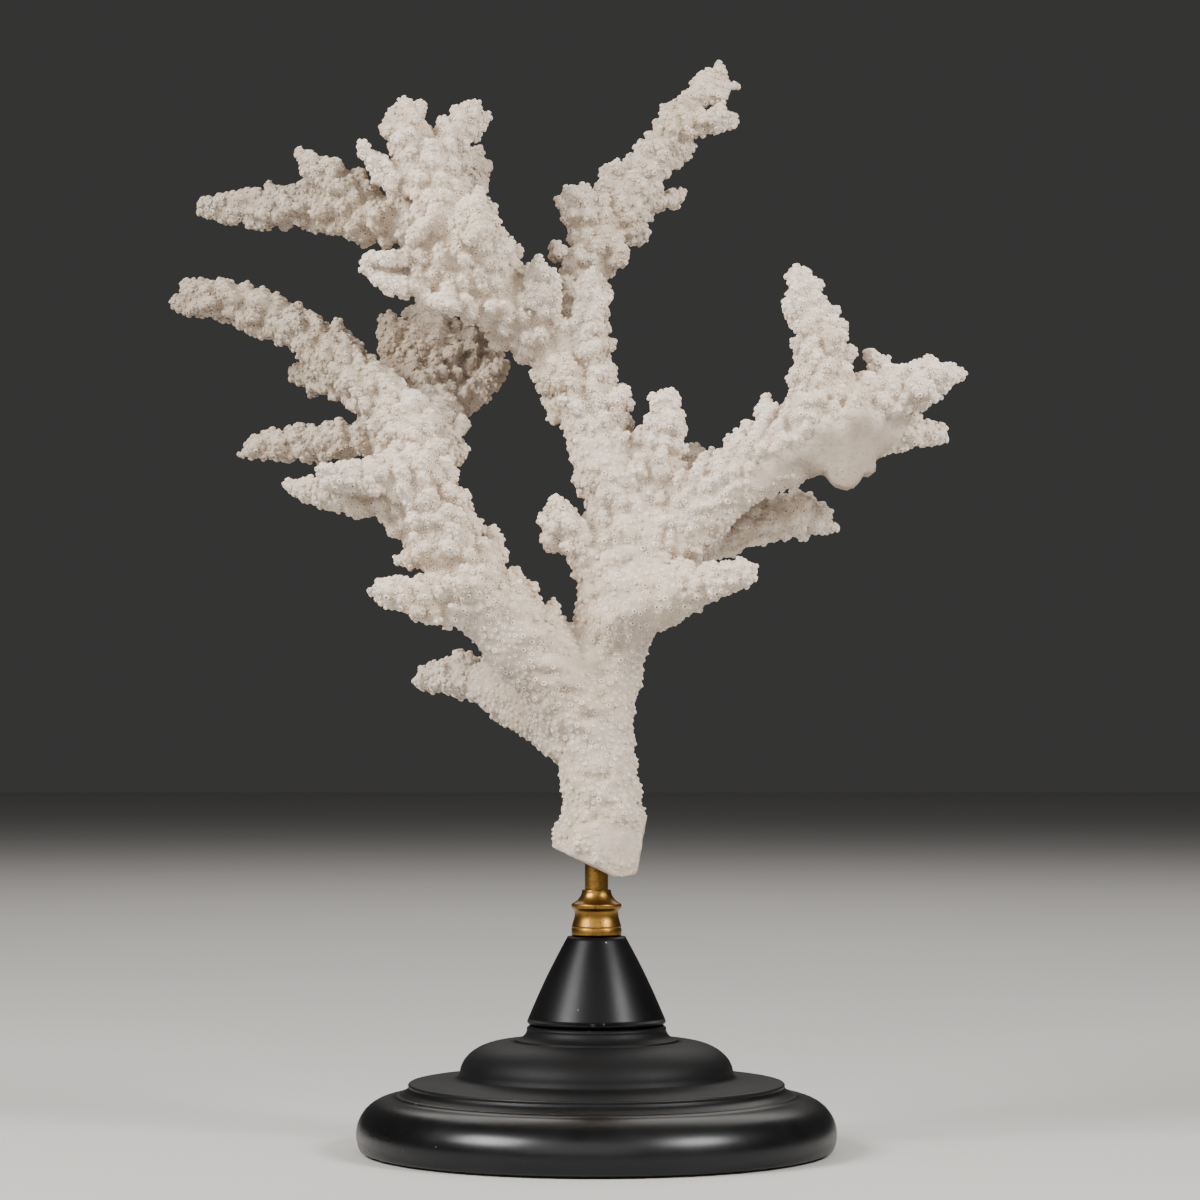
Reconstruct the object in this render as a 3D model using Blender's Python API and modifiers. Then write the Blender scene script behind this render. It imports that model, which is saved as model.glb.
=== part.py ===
"""Branching white coral skeleton on a brass rod, set in a turned black wooden stand.

The scene is in metres. Front is toward -Y, the stand's turning axis is +Z and the
underside of the base lies at Z = 0. The branch tables below are in millimetres.
"""
import math
import random

import bmesh
import bpy
from mathutils import Vector

MM = 0.001
GAP = 0.3

BASE_RADIUS = 65.5
BASE_HEIGHT = 34.4
CONE_BOTTOM = BASE_HEIGHT + GAP
CONE_TOP = 58.6
COLLAR_BOTTOM = CONE_TOP + GAP
COLLAR_TOP = 71.3
ROD_RADIUS = 3.175
ROD_BOTTOM = 42.0
ROD_TOP = 96.0
BORE_RADIUS = ROD_RADIUS + GAP

VOXEL = 1.1
CORAL_TRIANGLES = 5600
BUD_SEED = 11
# Added to every radius, since softening the skin draws it in a little
SKIN = 0.25

# Centre lines of the limbs as x, y, z and radius; each one starts inside its parent
LIMBS = {
    "stem": [(0, 0, 72, 11), (0, 0, 79, 11.5), (0.3, 0, 84.5, 12.1), (1.4, 0, 92, 11.2),
             (1, 0, 100, 10.9), (0, 0, 108, 10.9), (-1.9, 0, 118, 10.8), (1, 0, 129, 10.4),
             (3.6, -1, 139.5, 10.5), (5.6, -3, 150.5, 10.8), (6.8, -4, 161.5, 10.4),
             (7.2, -5, 172.5, 9.9), (5.2, -5, 183, 9.5), (2, -4, 193, 9.5), (-2, -2, 204, 10),
             (-6.7, 0, 213, 10.8), (-9.8, 2, 220.5, 11)],
    "crown_limb": [(-9.5, 2, 220.5, 11.5), (-18, 0, 228, 11), (-26.5, -4, 234.5, 10.9),
                   (-33.5, -7, 243.5, 11.4), (-39.5, -8, 253, 10.9), (-43.5, -7, 262, 9.8),
                   (-46, -6, 269, 9.8)],
    "crown_side": [(-23.5, 0, 228.5, 9.3), (-34.5, -6, 235, 9.3), (-43, -9, 238, 7.6),
                   (-46.5, -8, 242.5, 6.5)],
    "crown_left": [(-45.5, -6, 266, 9.8), (-50, -6, 274.5, 7.6), (-52.5, -5, 280.3, 5.7)],
    "crown_right": [(-45.5, -6, 266, 9.8), (-40, -5, 274.5, 7.4), (-36, -3, 281, 5.2)],
    "crown_back": [(-39, 4, 256.5, 8), (-36, 13, 264.5, 5.8), (-34.5, 18, 271.5, 4.3)],
    "crown_front": [(-34.5, -10, 245.5, 9.2), (-33, -22, 249.5, 5.4), (-33, -27, 251, 3.7)],
    "crown_stub": [(-52, -9, 263.5, 4.3), (-59, -11, 268.5, 3), (-62.5, -12, 271.3, 2.6)],
    "top_left": [(-43, -2, 254, 9.3), (-55.5, 2, 254.3, 8), (-63.5, 4, 255.8, 8.2),
                 (-72, 6, 258.5, 7.4), (-82, 8, 259.5, 6.2), (-91.5, 10, 259, 6.1),
                 (-100, 12, 259.5, 5), (-107.5, 13, 259.5, 3)],
    "top_left_stub": [(-63.5, 4, 258.5, 7.7), (-71, 2, 265, 6), (-77.5, 1, 268.5, 4.2)],
    "upper_finger": [(-42.5, -8, 241.5, 4.3), (-49, -12, 241.5, 3.2), (-56, -15, 241.5, 3.1),
                     (-61.7, -17, 241.5, 2.8)],
    "under_finger": [(-41, -8, 233.7, 4.9), (-48.5, -13, 234.4, 3.5), (-53.5, -16, 234.8, 3.1),
                     (-57.7, -18, 235.3, 2.7)],
    "centre_stub": [(-12.5, -4, 223, 6), (-14.5, -10, 232, 5), (-14.8, -12, 239, 3.5)],
    "front_lobe": [(-4.5, -4, 223, 7.1), (-2.5, -9, 231, 4.9), (-2, -11, 235.5, 3.8)],
    "top_right": [(-8, 4, 221, 10.5), (-5.5, 7, 230, 7.7), (-3.5, 10, 239.5, 6.8),
                  (-0.5, 13, 248.5, 7.4), (6, 16, 258, 8.2), (12, 18, 268.3, 6.8),
                  (18.5, 20, 278.5, 5.6), (24.5, 22, 287.5, 4.6), (30.5, 24, 294, 3.6),
                  (33.5, 25, 298.5, 2.4), (35.2, 25, 302, 1.8)],
    "top_right_fork": [(21, 20, 280.6, 4.7), (27.5, 18, 283.6, 4), (33, 17, 284.5, 3.3),
                       (36.5, 17, 284, 2.4), (39.2, 17, 284.2, 1.5)],
    "top_right_finger": [(10.5, 18, 261, 6.7), (16.5, 23, 262, 4.2), (22.5, 26, 264, 2.7)],
    "left_limb": [(-1, 0, 119, 11.5), (-8.5, -2, 126, 11.7), (-16.5, -6, 136, 11.2),
                  (-25.8, -10, 146.7, 10.8), (-33, -12, 156.3, 10.7), (-40.5, -14, 166.5, 11),
                  (-46, -15, 177, 10.4), (-49.5, -10, 188.5, 10.3), (-52, -4, 197.5, 10)],
    "left_branch": [(-51, -5, 195.5, 9.8), (-58.5, 0, 204.5, 8.5), (-65.5, 2, 211, 7.7),
                    (-74, 5, 219.5, 7.2), (-82.5, 8, 225.5, 6.3), (-92.5, 11, 230, 6.6),
                    (-102, 13, 233.5, 6), (-109, 14, 234.5, 5.5)],
    "left_branch_back": [(-72, 8, 212.5, 5.5), (-79, 17, 214.5, 4.6), (-84, 22, 214, 2.7)],
    "finger_high": [(-53.5, -2, 194.5, 8.2), (-63.5, 3, 194, 6), (-72, 4, 194, 5.8),
                    (-81.5, 7, 193.5, 5.3), (-90, 8, 193, 4.4), (-96, 9, 192.5, 2.9)],
    "finger_middle": [(-46.5, -12, 179, 9.7), (-57.5, -11, 177.5, 6.5), (-68.5, -12, 178, 4.6),
                      (-77, -12, 179.8, 3.9), (-82, -12, 180.6, 2.8)],
    "finger_front": [(-47.5, -18, 182.5, 9.2), (-55.5, -21, 183, 6.2), (-64, -23, 183.2, 4.7),
                     (-72.5, -23, 182.7, 3.6)],
    "finger_low": [(-33, -14, 153, 10.3), (-41, -17, 150.5, 8), (-47.5, -20, 150.3, 6),
                   (-54, -22, 152, 4.7), (-58, -23, 152.5, 3.2)],
    "lower_finger": [(-4.7, 4, 115.3, 11.2), (-13.5, 11, 119.7, 9.6), (-23.5, 19, 124.5, 7.8),
                     (-32.5, 25, 128.3, 6.4), (-41, 28, 129.2, 5.3), (-48, 29, 129.2, 3.6)],
    "rear_stem": [(-47, -4, 186, 9.3), (-46, 10, 198, 9.1), (-47, 22, 208.5, 10.1),
                  (-49.5, 30, 218.5, 9.6), (-48.5, 35, 226.5, 8.5)],
    "rear_right": [(-45, 22, 208.5, 8.4), (-39, 29, 216, 7.8), (-34.5, 34, 221.5, 7.8),
                   (-33.5, 38, 229.5, 6.4)],
    "rear_left": [(-51, 24, 211.5, 7.8), (-57, 28, 222, 4.5), (-59, 30, 229.5, 3.4)],
    "rear_finger": [(-44, 17, 204.5, 7.2), (-36.5, 20.5, 207, 5.2), (-31.5, 23, 211, 3.9),
                    (-27, 25, 216, 2.7)],
    "right_limb": [(5.5, -3, 150.5, 10.9), (16, -7, 162.5, 10.3), (27, -12, 174.5, 9.7),
                   (38, -15, 184.3, 9.7), (49.5, -17, 190.8, 10.4), (60, -18, 195.5, 11),
                   (70, -18, 200.5, 9.9), (78, -18, 204.5, 7.4), (86, -18, 207.3, 7),
                   (92, -18, 210, 4.7), (96, -17, 210.8, 2.8)],
    "right_fork": [(68.5, -16, 196.5, 8.6), (79.5, -12, 194.5, 5.7), (87, -11, 195.5, 4.5),
                   (93.3, -10, 194.7, 2.8)],
    "right_stub": [(77, -15, 205.5, 5.4), (76.5, -13, 212, 3.4), (76, -13, 214.5, 3.1)],
    "right_lump": [(64, -20, 191.5, 7.5), (67, -22, 185, 5.5)],
    "right_small_lump": [(68.5, -18, 190.5, 6.5), (71.5, -19, 186, 3.5)],
    "upright": [(60.5, -18, 198.5, 10.2), (60.5, -17, 207.5, 8.6), (61.5, -16, 216, 8.5),
                (59, -14, 224.5, 6.8), (56, -12, 231.5, 5.8), (55, -11, 237, 3.8)],
    "rear_lobe": [(23, 2, 166, 8.8), (32.5, 6, 169, 7.4), (41, 9, 171.5, 6.7),
                  (49.5, 11, 173.3, 6.9), (56.5, 12, 173.7, 6.9), (61.5, 12, 173, 4.7)],
    "stub_up": [(12, -6, 175, 8.2), (16, -9, 184.5, 7.6), (17.5, -11, 193.5, 6.2),
                (19, -12, 201, 4.6), (19, -12, 204, 3.8)],
    "stub_back": [(21.5, -3, 178, 7.1), (25, 5, 186.5, 4.9), (26.5, 8, 190, 4.1)],
    "stub_left": [(4, -4, 157, 8.7), (-3, -7, 164, 6.3), (-9, -9, 171, 4.9),
                  (-10.5, -10, 175, 3.4)],
    "right_finger": [(8, -5, 148, 10.9), (15, -12, 151, 8.9), (22.5, -18, 153, 6.9),
                     (30, -23, 154.5, 5.5), (35.5, -26, 156, 4.7), (39.5, -28, 157, 4)],
    "rear_a": [(4.5, 8, 162, 8.8), (7.5, 25, 168, 6.5), (10.5, 36, 176, 4.6)],
    "rear_b": [(1, 6, 186.5, 7.7), (-2.5, 20, 196, 5.8), (-5.5, 27, 206, 4)],
    "rear_c": [(-36, 6, 246, 8.8), (-40.5, 24, 254.5, 6.2), (-42, 34, 261, 4.2)],
    "rear_d": [(51, -8, 190.5, 8.2), (55.5, 8, 196, 6.1), (58.5, 19, 200, 4.2)],
    "rear_e": [(-14, 6, 133, 9.4), (-18.5, 24, 140, 6.2), (-21, 36, 145.5, 4.2)],
    "rear_f": [(-41.5, -4, 172.5, 8.7), (-43.5, 14, 179, 5.5), (-45, 26, 184, 3.9)],
    "rear_g": [(-0.5, 8, 113.5, 9.9), (1.5, 22, 119, 6.8), (0, 33, 123.5, 5), (-1.5, 40, 124.5, 3.6)],
    "rear_h": [(-6, 8, 214.5, 9.4), (-9, 25, 219, 6.6), (-9.5, 37, 226, 5), (-8, 42, 231, 3.4)],
}

# Short side buds as x, y, z and radius of the tip; each grows from the named limb
BUDS = {
    "stem": [(-17.5, -2, 213.5, 3), (-6, -5, 182.5, 2.2), (-12, -2, 202.5, 3.3), (1, 0, 218.5, 3.4),
             (2.3, -2, 213, 3.4), (5.5, -3, 209, 2.7), (7.5, -4, 204, 3.3), (2.5, 4, 226, 2.7),
             (3, 4, 232, 2.7)],
    "stub_left": [(-5.5, -6, 158.5, 2.6), (-8, -9, 175, 2.2), (-3.5, -8, 171, 1.9), (-11.5, -8, 164.5, 2.2),
                  (-12.5, -9, 170, 2.4), (-13, -9, 174.5, 2.2)],
    "stub_up": [(22.5, -12, 196.5, 2.7), (20.5, -12, 203.5, 2.7), (16.5, -13, 204, 2.7),
                (14, -11, 197, 2.4)],
    "left_limb": [(-13, -8, 147, 3.5), (-18, -10, 153.5, 3.5), (-23.5, -11, 156.5, 3.8),
                  (-29, -12, 165.5, 3.5), (-32.5, -13, 169, 3.5), (-50.3, -14, 160.5, 3.2),
                  (-52.5, -13, 164.5, 2.8), (-55, -13, 168.8, 3.1), (-39.8, -14, 181, 2.9), (-39, -14, 176, 2.9),
                  (-37, 0, 190, 2.5)],
    "left_branch": [(-64.5, 0, 216.5, 2.5), (-67.5, 3, 219, 2.6), (-70.5, 5, 224, 2.5),
                    (-74, 5, 225.5, 2.2), (-78.5, 7, 227.5, 2.2), (-82, 9, 231, 2.2),
                    (-85.5, 9, 232, 2.2), (-91, 11, 235, 2.5), (-95.5, 12, 236, 2.2),
                    (-99, 13, 237, 2.2), (-103.5, 13, 238, 2.2), (-109.5, 14, 238, 2.2),
                    (-115, 14, 238.5, 2.4), (-116.5, 15, 233, 2.1), (-113.5, 15, 232, 2.8),
                    (-92, 10, 225, 2.5), (-107.5, 14, 230.5, 2.2), (-100, 14, 230, 2.5)],
    "top_left": [(-68.5, 2, 269.5, 1.9), (-64.5, 2, 267, 3), (-90, 10, 263.5, 2.5),
                 (-97.5, 12, 263, 2.5), (-84.5, 9, 263.5, 2.5), (-104, 12, 260, 2.2),
                 (-97.5, 12, 256.5, 2.5), (-110, 13, 261, 1.7), (-109.5, 13, 258, 1.7),
                 (-90, 10, 255.5, 2.5), (-77.5, 7, 255, 3), (-67.5, 4, 252.5, 3),
                 (-75, 0, 256.5, 3), (-60.5, -6, 256, 3)],
    "top_left_stub": [(-80, 1, 272, 2.7), (-80, 1, 267.5, 2.5), (-74.5, 1, 270, 2.7)],
    "crown_left": [(-51, -5, 285, 2.7), (-48, -4, 285, 2.2), (-58.3, -5, 280.5, 2.5),
                   (-56.5, -6, 276.8, 2.8)],
    "crown_right": [(-34.5, -3, 284.5, 2.5), (-32, -3, 281.5, 2.5), (-32.5, -3, 278.5, 1.9),
                    (-38.5, -3, 281, 2.2), (-44, -5, 279.5, 2.3)],
    "crown_limb": [(-28, -4, 255.5, 2.6), (-21.8, -4, 245.3, 2.2), (-29, -14, 253, 2.2),
                   (-56, -12, 264.5, 3.3), (-54, -11, 261.5, 2.4), (-26.3, -4, 249.5, 3.1),
                   (-38, -18, 244.5, 3.8), (-28, -16, 242.5, 3.8), (-48, -12, 249, 3.2)],
    "crown_back": [(-32.8, 18, 276, 1.9), (-30.6, 20, 272.5, 2), (-31, 20, 267, 2.1)],
    "crown_side": [(-46.5, -12, 235.5, 3.8), (-45, -10, 232, 3.3), (-38, -14, 231.5, 3.2)],
    "top_right": [(-4.5, 14, 261, 5.5), (-8.5, 14, 258, 2.9), (-5, 14, 264, 2.5),
                  (3, 15, 268, 3.9), (6.5, 15, 270, 3.6), (12, 17, 273.3, 2.9),
                  (16, 18, 278.5, 2.2), (18, 19, 282.5, 2.2), (20, 21, 288, 2.8),
                  (26.5, 22, 292.5, 2.2), (29.2, 24, 298.3, 1.9), (27.5, 23, 294.5, 2), (34.5, 22, 291.5, 2.3),
                  (38.8, 24, 294.8, 1.5), (-11, 10, 247, 3.3), (7, 6, 246.5, 3),
                  (12, 24, 253, 3.1), (4.5, 8, 243.5, 2.8), (25, 20, 278, 2), (25.5, 20, 275.5, 2.1),
                  (23.5, 20, 273, 2), (19, 19, 269.5, 2.5)],
    "top_right_fork": [(35, 17, 288.5, 1.8), (32, 17, 282.5, 1.9), (38, 17, 286, 1.4)],
    "right_limb": [(33, -12, 189.5, 2.7), (40.5, -15, 195, 4), (47, -16, 201, 4.3),
                   (69.5, -10, 208, 2.4), (82, -17, 211.5, 2.4), (88, -17, 214, 2.2),
                   (92.5, -17, 213, 2.1), (98.7, -17, 210.8, 1.2), (65.5, -22, 206.5, 3.2), (54.5, -26, 200.5, 3.7),
                   (85, -20, 211, 2.7)],
    "right_fork": [(84.5, -11, 197, 2.2), (94, -10, 196.5, 1.6)],
    "upright": [(67, -14, 222.5, 2.7), (63, -13, 230, 2.3), (59.5, -12, 236, 1.6),
                (53.5, -15, 217.5, 2.2), (53, -16, 209.5, 2.2), (52, -12, 231.5, 2.3),
                (52.5, -13, 227, 2.2), (53.5, -11, 238.5, 2.2), (55.5, -11, 239, 2.4),
                (67.5, -15, 216.5, 3), (54.5, -20, 222.5, 2.7), (63.5, -22, 220, 2.7)],
    "rear_lobe": [(45.5, 5, 172.5, 2.8), (64, 12, 174.5, 2.5), (55.5, 11, 179, 2.8),
                  (63.5, 12, 171, 2.5)],
    "left_branch_back": [(-70.5, 7, 206.5, 2.8), (-78, 14, 209.5, 3)],
    "rear_left": [(-60.5, 30, 231, 2.2), (-57.5, 30, 230, 2.2), (-60.5, 29, 224.5, 2.2)],
    "finger_high": [(-72.5, 4, 197.5, 2.5), (-81.5, 7, 197, 2.6), (-90, 8, 196, 2.2),
                    (-71, 3, 191.5, 2.5)],
    "finger_low": [(-53, -22, 154.3, 2.2)],
    "rear_stem": [(-36.8, 5, 198, 3.2), (-39, 2, 193, 2.6)],
    "lower_finger": [(-37, 25, 134.5, 3.4)],
    "rear_finger": [(-30, 23, 209.5, 2.2), (-25.5, 25, 215, 1.8)],
}

# Where the colony parts at its forks: centre, direction of growth, half width and half height
FORKS = [
    ((-23.3, -8, 144.1), (-0.6, 0, 0.8), 13.5, 16.5),
    ((-26.9, -3.5, 233.2), (-0.76, 0, 0.65), 15, 13.5),
    ((-1.8, 10, 238.5), (0.24, 0, 0.97), 11, 11),
    ((-55.3, 2, 254.3), (-1, 0, 0), 9.3, 9.3),
    ((-64.3, 2, 209.6), (-0.77, 0, 0.64), 10.4, 10.4),
    ((-45.1, 17, 205.3), (-0.1, 0.65, 0.75), 16, 13),
    ((41.4, -15, 185.9), (0.78, 0, 0.62), 12, 13.5),
    ((60.2, -17, 212.7), (0, 0, 1), 10.4, 10.4),
    ((41, 9, 170.5), (1, 0, 0), 8.6, 8.6),
    ((-28, 22, 126.7), (-0.79, 0.53, 0.31), 9.5, 9.5),
    ((25.9, -20.1, 153.3), (0.81, -0.56, 0.15), 9.6, 9.2),
    ((-62.4, -16.5, 180.4), (-1, 0, 0), 13, 10.5),
    ((-67.1, 3, 194.1), (-1, 0, 0), 7.5, 7.5),
]

# The foot of the stem is broken off along these faces: a point on each and its outward side
BREAKS = [
    ((2.3, 0, 75.9), (-0.42, -0.12, -0.9)),
    ((4, 0, 75.8), (0.04, 0.1, -0.99)),
    ((11, 0, 78), (0.97, 0.1, -0.2)),
    ((0, 8, 77.2), (-0.1, 0.55, -0.83)),
]

# A point inside each piece of coral
PIECES = {
    "coral_trunk": (2, 0, 129),
    "coral_left_limb": (-39.5, -14, 166.5),
    "coral_left_branch": (-92.5, 11, 230),
    "coral_rear_cluster": (-47, 28, 216),
    "coral_crown": (-39.5, -8, 253),
    "coral_top_left_branch": (-82, 8, 259.5),
    "coral_top_right_branch": (6, 16, 258.5),
    "coral_right_limb": (60, -18, 196.5),
    "coral_upright_branch": (59, -14, 224.5),
    "coral_rear_lobe": (52, 11, 173),
    "coral_lower_finger": (-41, 28, 129.5),
    "coral_right_finger": (33, -24.5, 155),
    "coral_middle_finger": (-70, -15, 180),
    "coral_high_finger": (-81.5, 7, 194),
}


def clear_scene():
    """Remove everything the scene starts with."""
    for obj in list(bpy.data.objects):
        bpy.data.objects.remove(obj, do_unlink=True)


def new_collection(name):
    """Add a collection to the scene."""
    coll = bpy.data.collections.new(name)
    bpy.context.scene.collection.children.link(coll)
    return coll


def make_material(name, colour, roughness, metallic):
    """Plain Principled material for one sub-part."""
    mat = bpy.data.materials.new(name)
    mat.use_nodes = True
    shader = mat.node_tree.nodes["Principled BSDF"]
    shader.inputs["Base Color"].default_value = (*colour, 1.0)
    shader.inputs["Roughness"].default_value = roughness
    shader.inputs["Metallic"].default_value = metallic
    mat.diffuse_color = (*colour, 1.0)
    return mat


def coral_material(name):
    """Warm white chalky skeleton."""
    return make_material(name + "_chalk", (0.78, 0.74, 0.69), 0.85, 0.0)


def lacquer_material(name, roughness):
    """Black lacquered wood."""
    return make_material(name + "_lacquer", (0.012, 0.012, 0.013), roughness, 0.0)


def brass_material(name):
    """Aged satin brass."""
    return make_material(name + "_brass", (0.56, 0.38, 0.14), 0.34, 1.0)


def link(name, mesh, coll):
    """Put a mesh in a collection as an object of the same name."""
    mesh.name = name
    obj = bpy.data.objects.new(name, mesh)
    coll.objects.link(obj)
    return obj


def arc(centre_r, centre_z, size_r, size_z, start, end, count):
    """Points on an elliptic arc of a profile, angles in degrees from +X toward +Z."""
    points = []
    for i in range(count + 1):
        angle = math.radians(start + (end - start) * i / count)
        points.append((centre_r + size_r * math.cos(angle), centre_z + size_z * math.sin(angle)))
    return points


def turned(name, profile, steps, closed, coll):
    """Turn a profile of radius and height pairs about the stand's axis."""
    mesh = bpy.data.meshes.new(name)
    verts = [(r * MM, 0.0, z * MM) for r, z in profile]
    edges = [(i, i + 1) for i in range(len(verts) - 1)]
    if closed:
        edges.append((len(verts) - 1, 0))
    mesh.from_pydata(verts, edges, [])
    obj = link(name, mesh, coll)
    screw = obj.modifiers.new("Turn", "SCREW")
    screw.axis = "Z"
    screw.angle = math.tau
    screw.steps = steps
    screw.render_steps = steps
    screw.use_merge_vertices = True
    screw.merge_threshold = 0.00001
    screw.use_smooth_shade = False
    return obj


def build_base(coll):
    """Round foot: fat torus edge, stepped shelf, domed ring and a flat seat for the cone."""
    profile = [(0, BASE_HEIGHT), (18.7, BASE_HEIGHT), (19.3, 33.6), (20.6, 31.1), (22.2, 30)]
    profile += arc(25.5, 21.5, 11.9, 8.4, 84, 6, 5)
    profile += [(39, 20), (42, 19.2), (50.6, 18.8), (51.4, 17.2), (54.6, 15.4)]
    profile += arc(55.4, 5, BASE_RADIUS - 55.4, 9.6, 86, -18, 6)
    profile += [(61.5, 0), (0, 0)]
    base = turned("stand_base", profile, 36, False, coll)
    base.data.materials.append(lacquer_material("stand_base", 0.28))
    return base


def build_cone(coll):
    """Tapered upper piece with a blind hole for the rod."""
    profile = [(0, ROD_BOTTOM - GAP), (BORE_RADIUS, ROD_BOTTOM - GAP), (BORE_RADIUS, CONE_TOP),
               (7.9, CONE_TOP), (12, 50.6), (15.8, 42.4), (18.9, 35.6), (18.2, CONE_BOTTOM),
               (0, CONE_BOTTOM)]
    cone = turned("stand_cone", profile, 32, False, coll)
    cone.data.materials.append(lacquer_material("stand_cone", 0.4))
    return cone


def build_collar(coll):
    """Turned brass ferrule: plain foot, waist, bead and a coned top around the rod."""
    profile = [(BORE_RADIUS, COLLAR_TOP), (3.95, COLLAR_TOP), (4.08, 70.8), (4.9, 68.6),
               (6.57, 67.6)]
    profile += [(6.98, 66.8), (6.7, 65.8), (6.08, 65.3), (6.08, 63.3), (6.76, 61.2)]
    profile += [(6.85, COLLAR_BOTTOM), (BORE_RADIUS, COLLAR_BOTTOM)]
    collar = turned("brass_collar", profile, 24, True, coll)
    collar.data.materials.append(brass_material("brass_collar"))
    return collar


def build_rod(coll):
    """Plain round rod from inside the cone up into the foot of the coral."""
    profile = [(0, ROD_TOP), (ROD_RADIUS, ROD_TOP), (ROD_RADIUS, ROD_BOTTOM), (0, ROD_BOTTOM)]
    rod = turned("brass_rod", profile, 24, False, coll)
    rod.data.materials.append(brass_material("brass_rod"))
    return rod


def tube_mesh(points):
    """Tapered round tube through the points, with closed ends."""
    curve = bpy.data.curves.new("limb_curve", "CURVE")
    curve.dimensions = "3D"
    curve.resolution_u = 5
    curve.bevel_depth = MM
    curve.bevel_resolution = 4
    curve.use_fill_caps = True
    spline = curve.splines.new("BEZIER")
    spline.bezier_points.add(len(points) - 1)
    for knot, (x, y, z, radius) in zip(spline.bezier_points, points):
        knot.co = Vector((x, y, z)) * MM
        knot.radius = radius + SKIN
        knot.handle_left_type = "AUTO"
        knot.handle_right_type = "AUTO"
    obj = bpy.data.objects.new("limb_curve", curve)
    bpy.context.scene.collection.objects.link(obj)
    graph = bpy.context.evaluated_depsgraph_get()
    mesh = bpy.data.meshes.new_from_object(obj.evaluated_get(graph))
    bpy.data.objects.remove(obj, do_unlink=True)
    bpy.data.curves.remove(curve)
    return mesh


def add_tube(bm, points):
    """Add a tapered tube with round ends to the growing colony."""
    mesh = tube_mesh(points)
    piece = bmesh.new()
    piece.from_mesh(mesh)
    bmesh.ops.remove_doubles(piece, verts=piece.verts, dist=0.00001)
    for x, y, z, radius in (points[0], points[-1]):
        ball = bmesh.ops.create_icosphere(piece, subdivisions=3, radius=(radius + SKIN) * MM)
        bmesh.ops.translate(piece, verts=ball["verts"], vec=Vector((x, y, z)) * MM)
    piece.to_mesh(mesh)
    piece.free()
    bm.from_mesh(mesh)
    bpy.data.meshes.remove(mesh)


def nearest_on_limb(limb, target):
    """Closest point on a limb's centre line, with the radius there."""
    best = None
    for start, end in zip(limb, limb[1:]):
        a = Vector(start[:3])
        span = Vector(end[:3]) - a
        t = max(0.0, min(1.0, (target - a).dot(span) / span.length_squared))
        point = a + span * t
        gap = (target - point).length
        if best is None or gap < best[0]:
            best = (gap, point, start[3] + (end[3] - start[3]) * t)
    return best[1], best[2]


def add_bud(bm, limb, tip):
    """Add one stubby bud that grows from the limb's centre line out to its tip."""
    target = Vector(tip[:3])
    root, radius = nearest_on_limb(limb, target)
    along = Vector(limb[-1][:3]) - Vector(limb[0][:3])
    root = root - along.normalized() * radius * 0.25
    add_tube(bm, [(*root, tip[3] * 1.35), tip])


def near_fork(point, margin):
    """True when a point lies within a margin of any of the fork planes' patches."""
    for centre, direction, half_width, half_height in FORKS:
        offset = point - Vector(centre)
        reach = max(half_width, half_height) + margin
        if abs(offset.dot(Vector(direction).normalized())) < margin and offset.length < reach:
            return True
    return False


def add_scattered_buds(bm):
    """Add small buds on the front and back of the limbs, out of line with their sides."""
    rng = random.Random(BUD_SEED)
    for name, limb in LIMBS.items():
        for start, end in zip(limb, limb[1:]):
            a = Vector(start[:3])
            span = Vector(end[:3]) - a
            for _ in range(max(1, round(span.length * 0.22))):
                t = rng.random()
                side = Vector((rng.uniform(-0.5, 0.5), rng.choice((-1, 1, 1)), rng.uniform(-0.2, 0.6)))
                radius = start[3] + (end[3] - start[3]) * t
                size = rng.uniform(1.9, 2.9)
                if a.z < 120 or radius < 4.5:
                    continue
                tip = a + span * t + side.normalized() * (radius + 1.5 - size * 0.5)
                if near_fork(tip, size + 1.5):
                    continue
                add_bud(bm, limb, (*tip, size))


def grow_colony(coll):
    """Fuse all limbs and buds into one closed skin and thin its mesh."""
    bm = bmesh.new()
    for limb in LIMBS.values():
        add_tube(bm, limb)
    for name, tips in BUDS.items():
        for tip in tips:
            add_bud(bm, LIMBS[name], tip)
    add_scattered_buds(bm)
    mesh = bpy.data.meshes.new("colony")
    bm.to_mesh(mesh)
    bm.free()
    obj = link("colony", mesh, coll)
    remesh = obj.modifiers.new("Fuse", "REMESH")
    remesh.mode = "VOXEL"
    remesh.voxel_size = VOXEL * MM
    smooth = obj.modifiers.new("Soften", "SMOOTH")
    smooth.factor = 0.5
    smooth.iterations = 3
    graph = bpy.context.evaluated_depsgraph_get()
    fine = obj.evaluated_get(graph).to_mesh()
    fine.calc_loop_triangles()
    ratio = CORAL_TRIANGLES / len(fine.loop_triangles)
    obj.evaluated_get(graph).to_mesh_clear()
    thin = obj.modifiers.new("Thin", "DECIMATE")
    thin.decimate_type = "COLLAPSE"
    thin.ratio = ratio
    return obj


def slab(name, centre, direction, half_width, half_height, thickness, coll):
    """Thin box across a limb, or a thick one beyond a broken face."""
    normal = Vector(direction).normalized()
    turn = normal.to_track_quat("Z", "Y").to_matrix().to_4x4()
    bm = bmesh.new()
    bmesh.ops.create_cube(bm, size=2.0)
    size = Vector((half_width, half_height, thickness / 2)) * MM
    bmesh.ops.scale(bm, vec=size, verts=bm.verts)
    bmesh.ops.transform(bm, matrix=turn, verts=bm.verts)
    bmesh.ops.translate(bm, vec=Vector(centre) * MM, verts=bm.verts)
    mesh = bpy.data.meshes.new(name)
    bm.to_mesh(mesh)
    bm.free()
    return link(name, mesh, coll)


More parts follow.
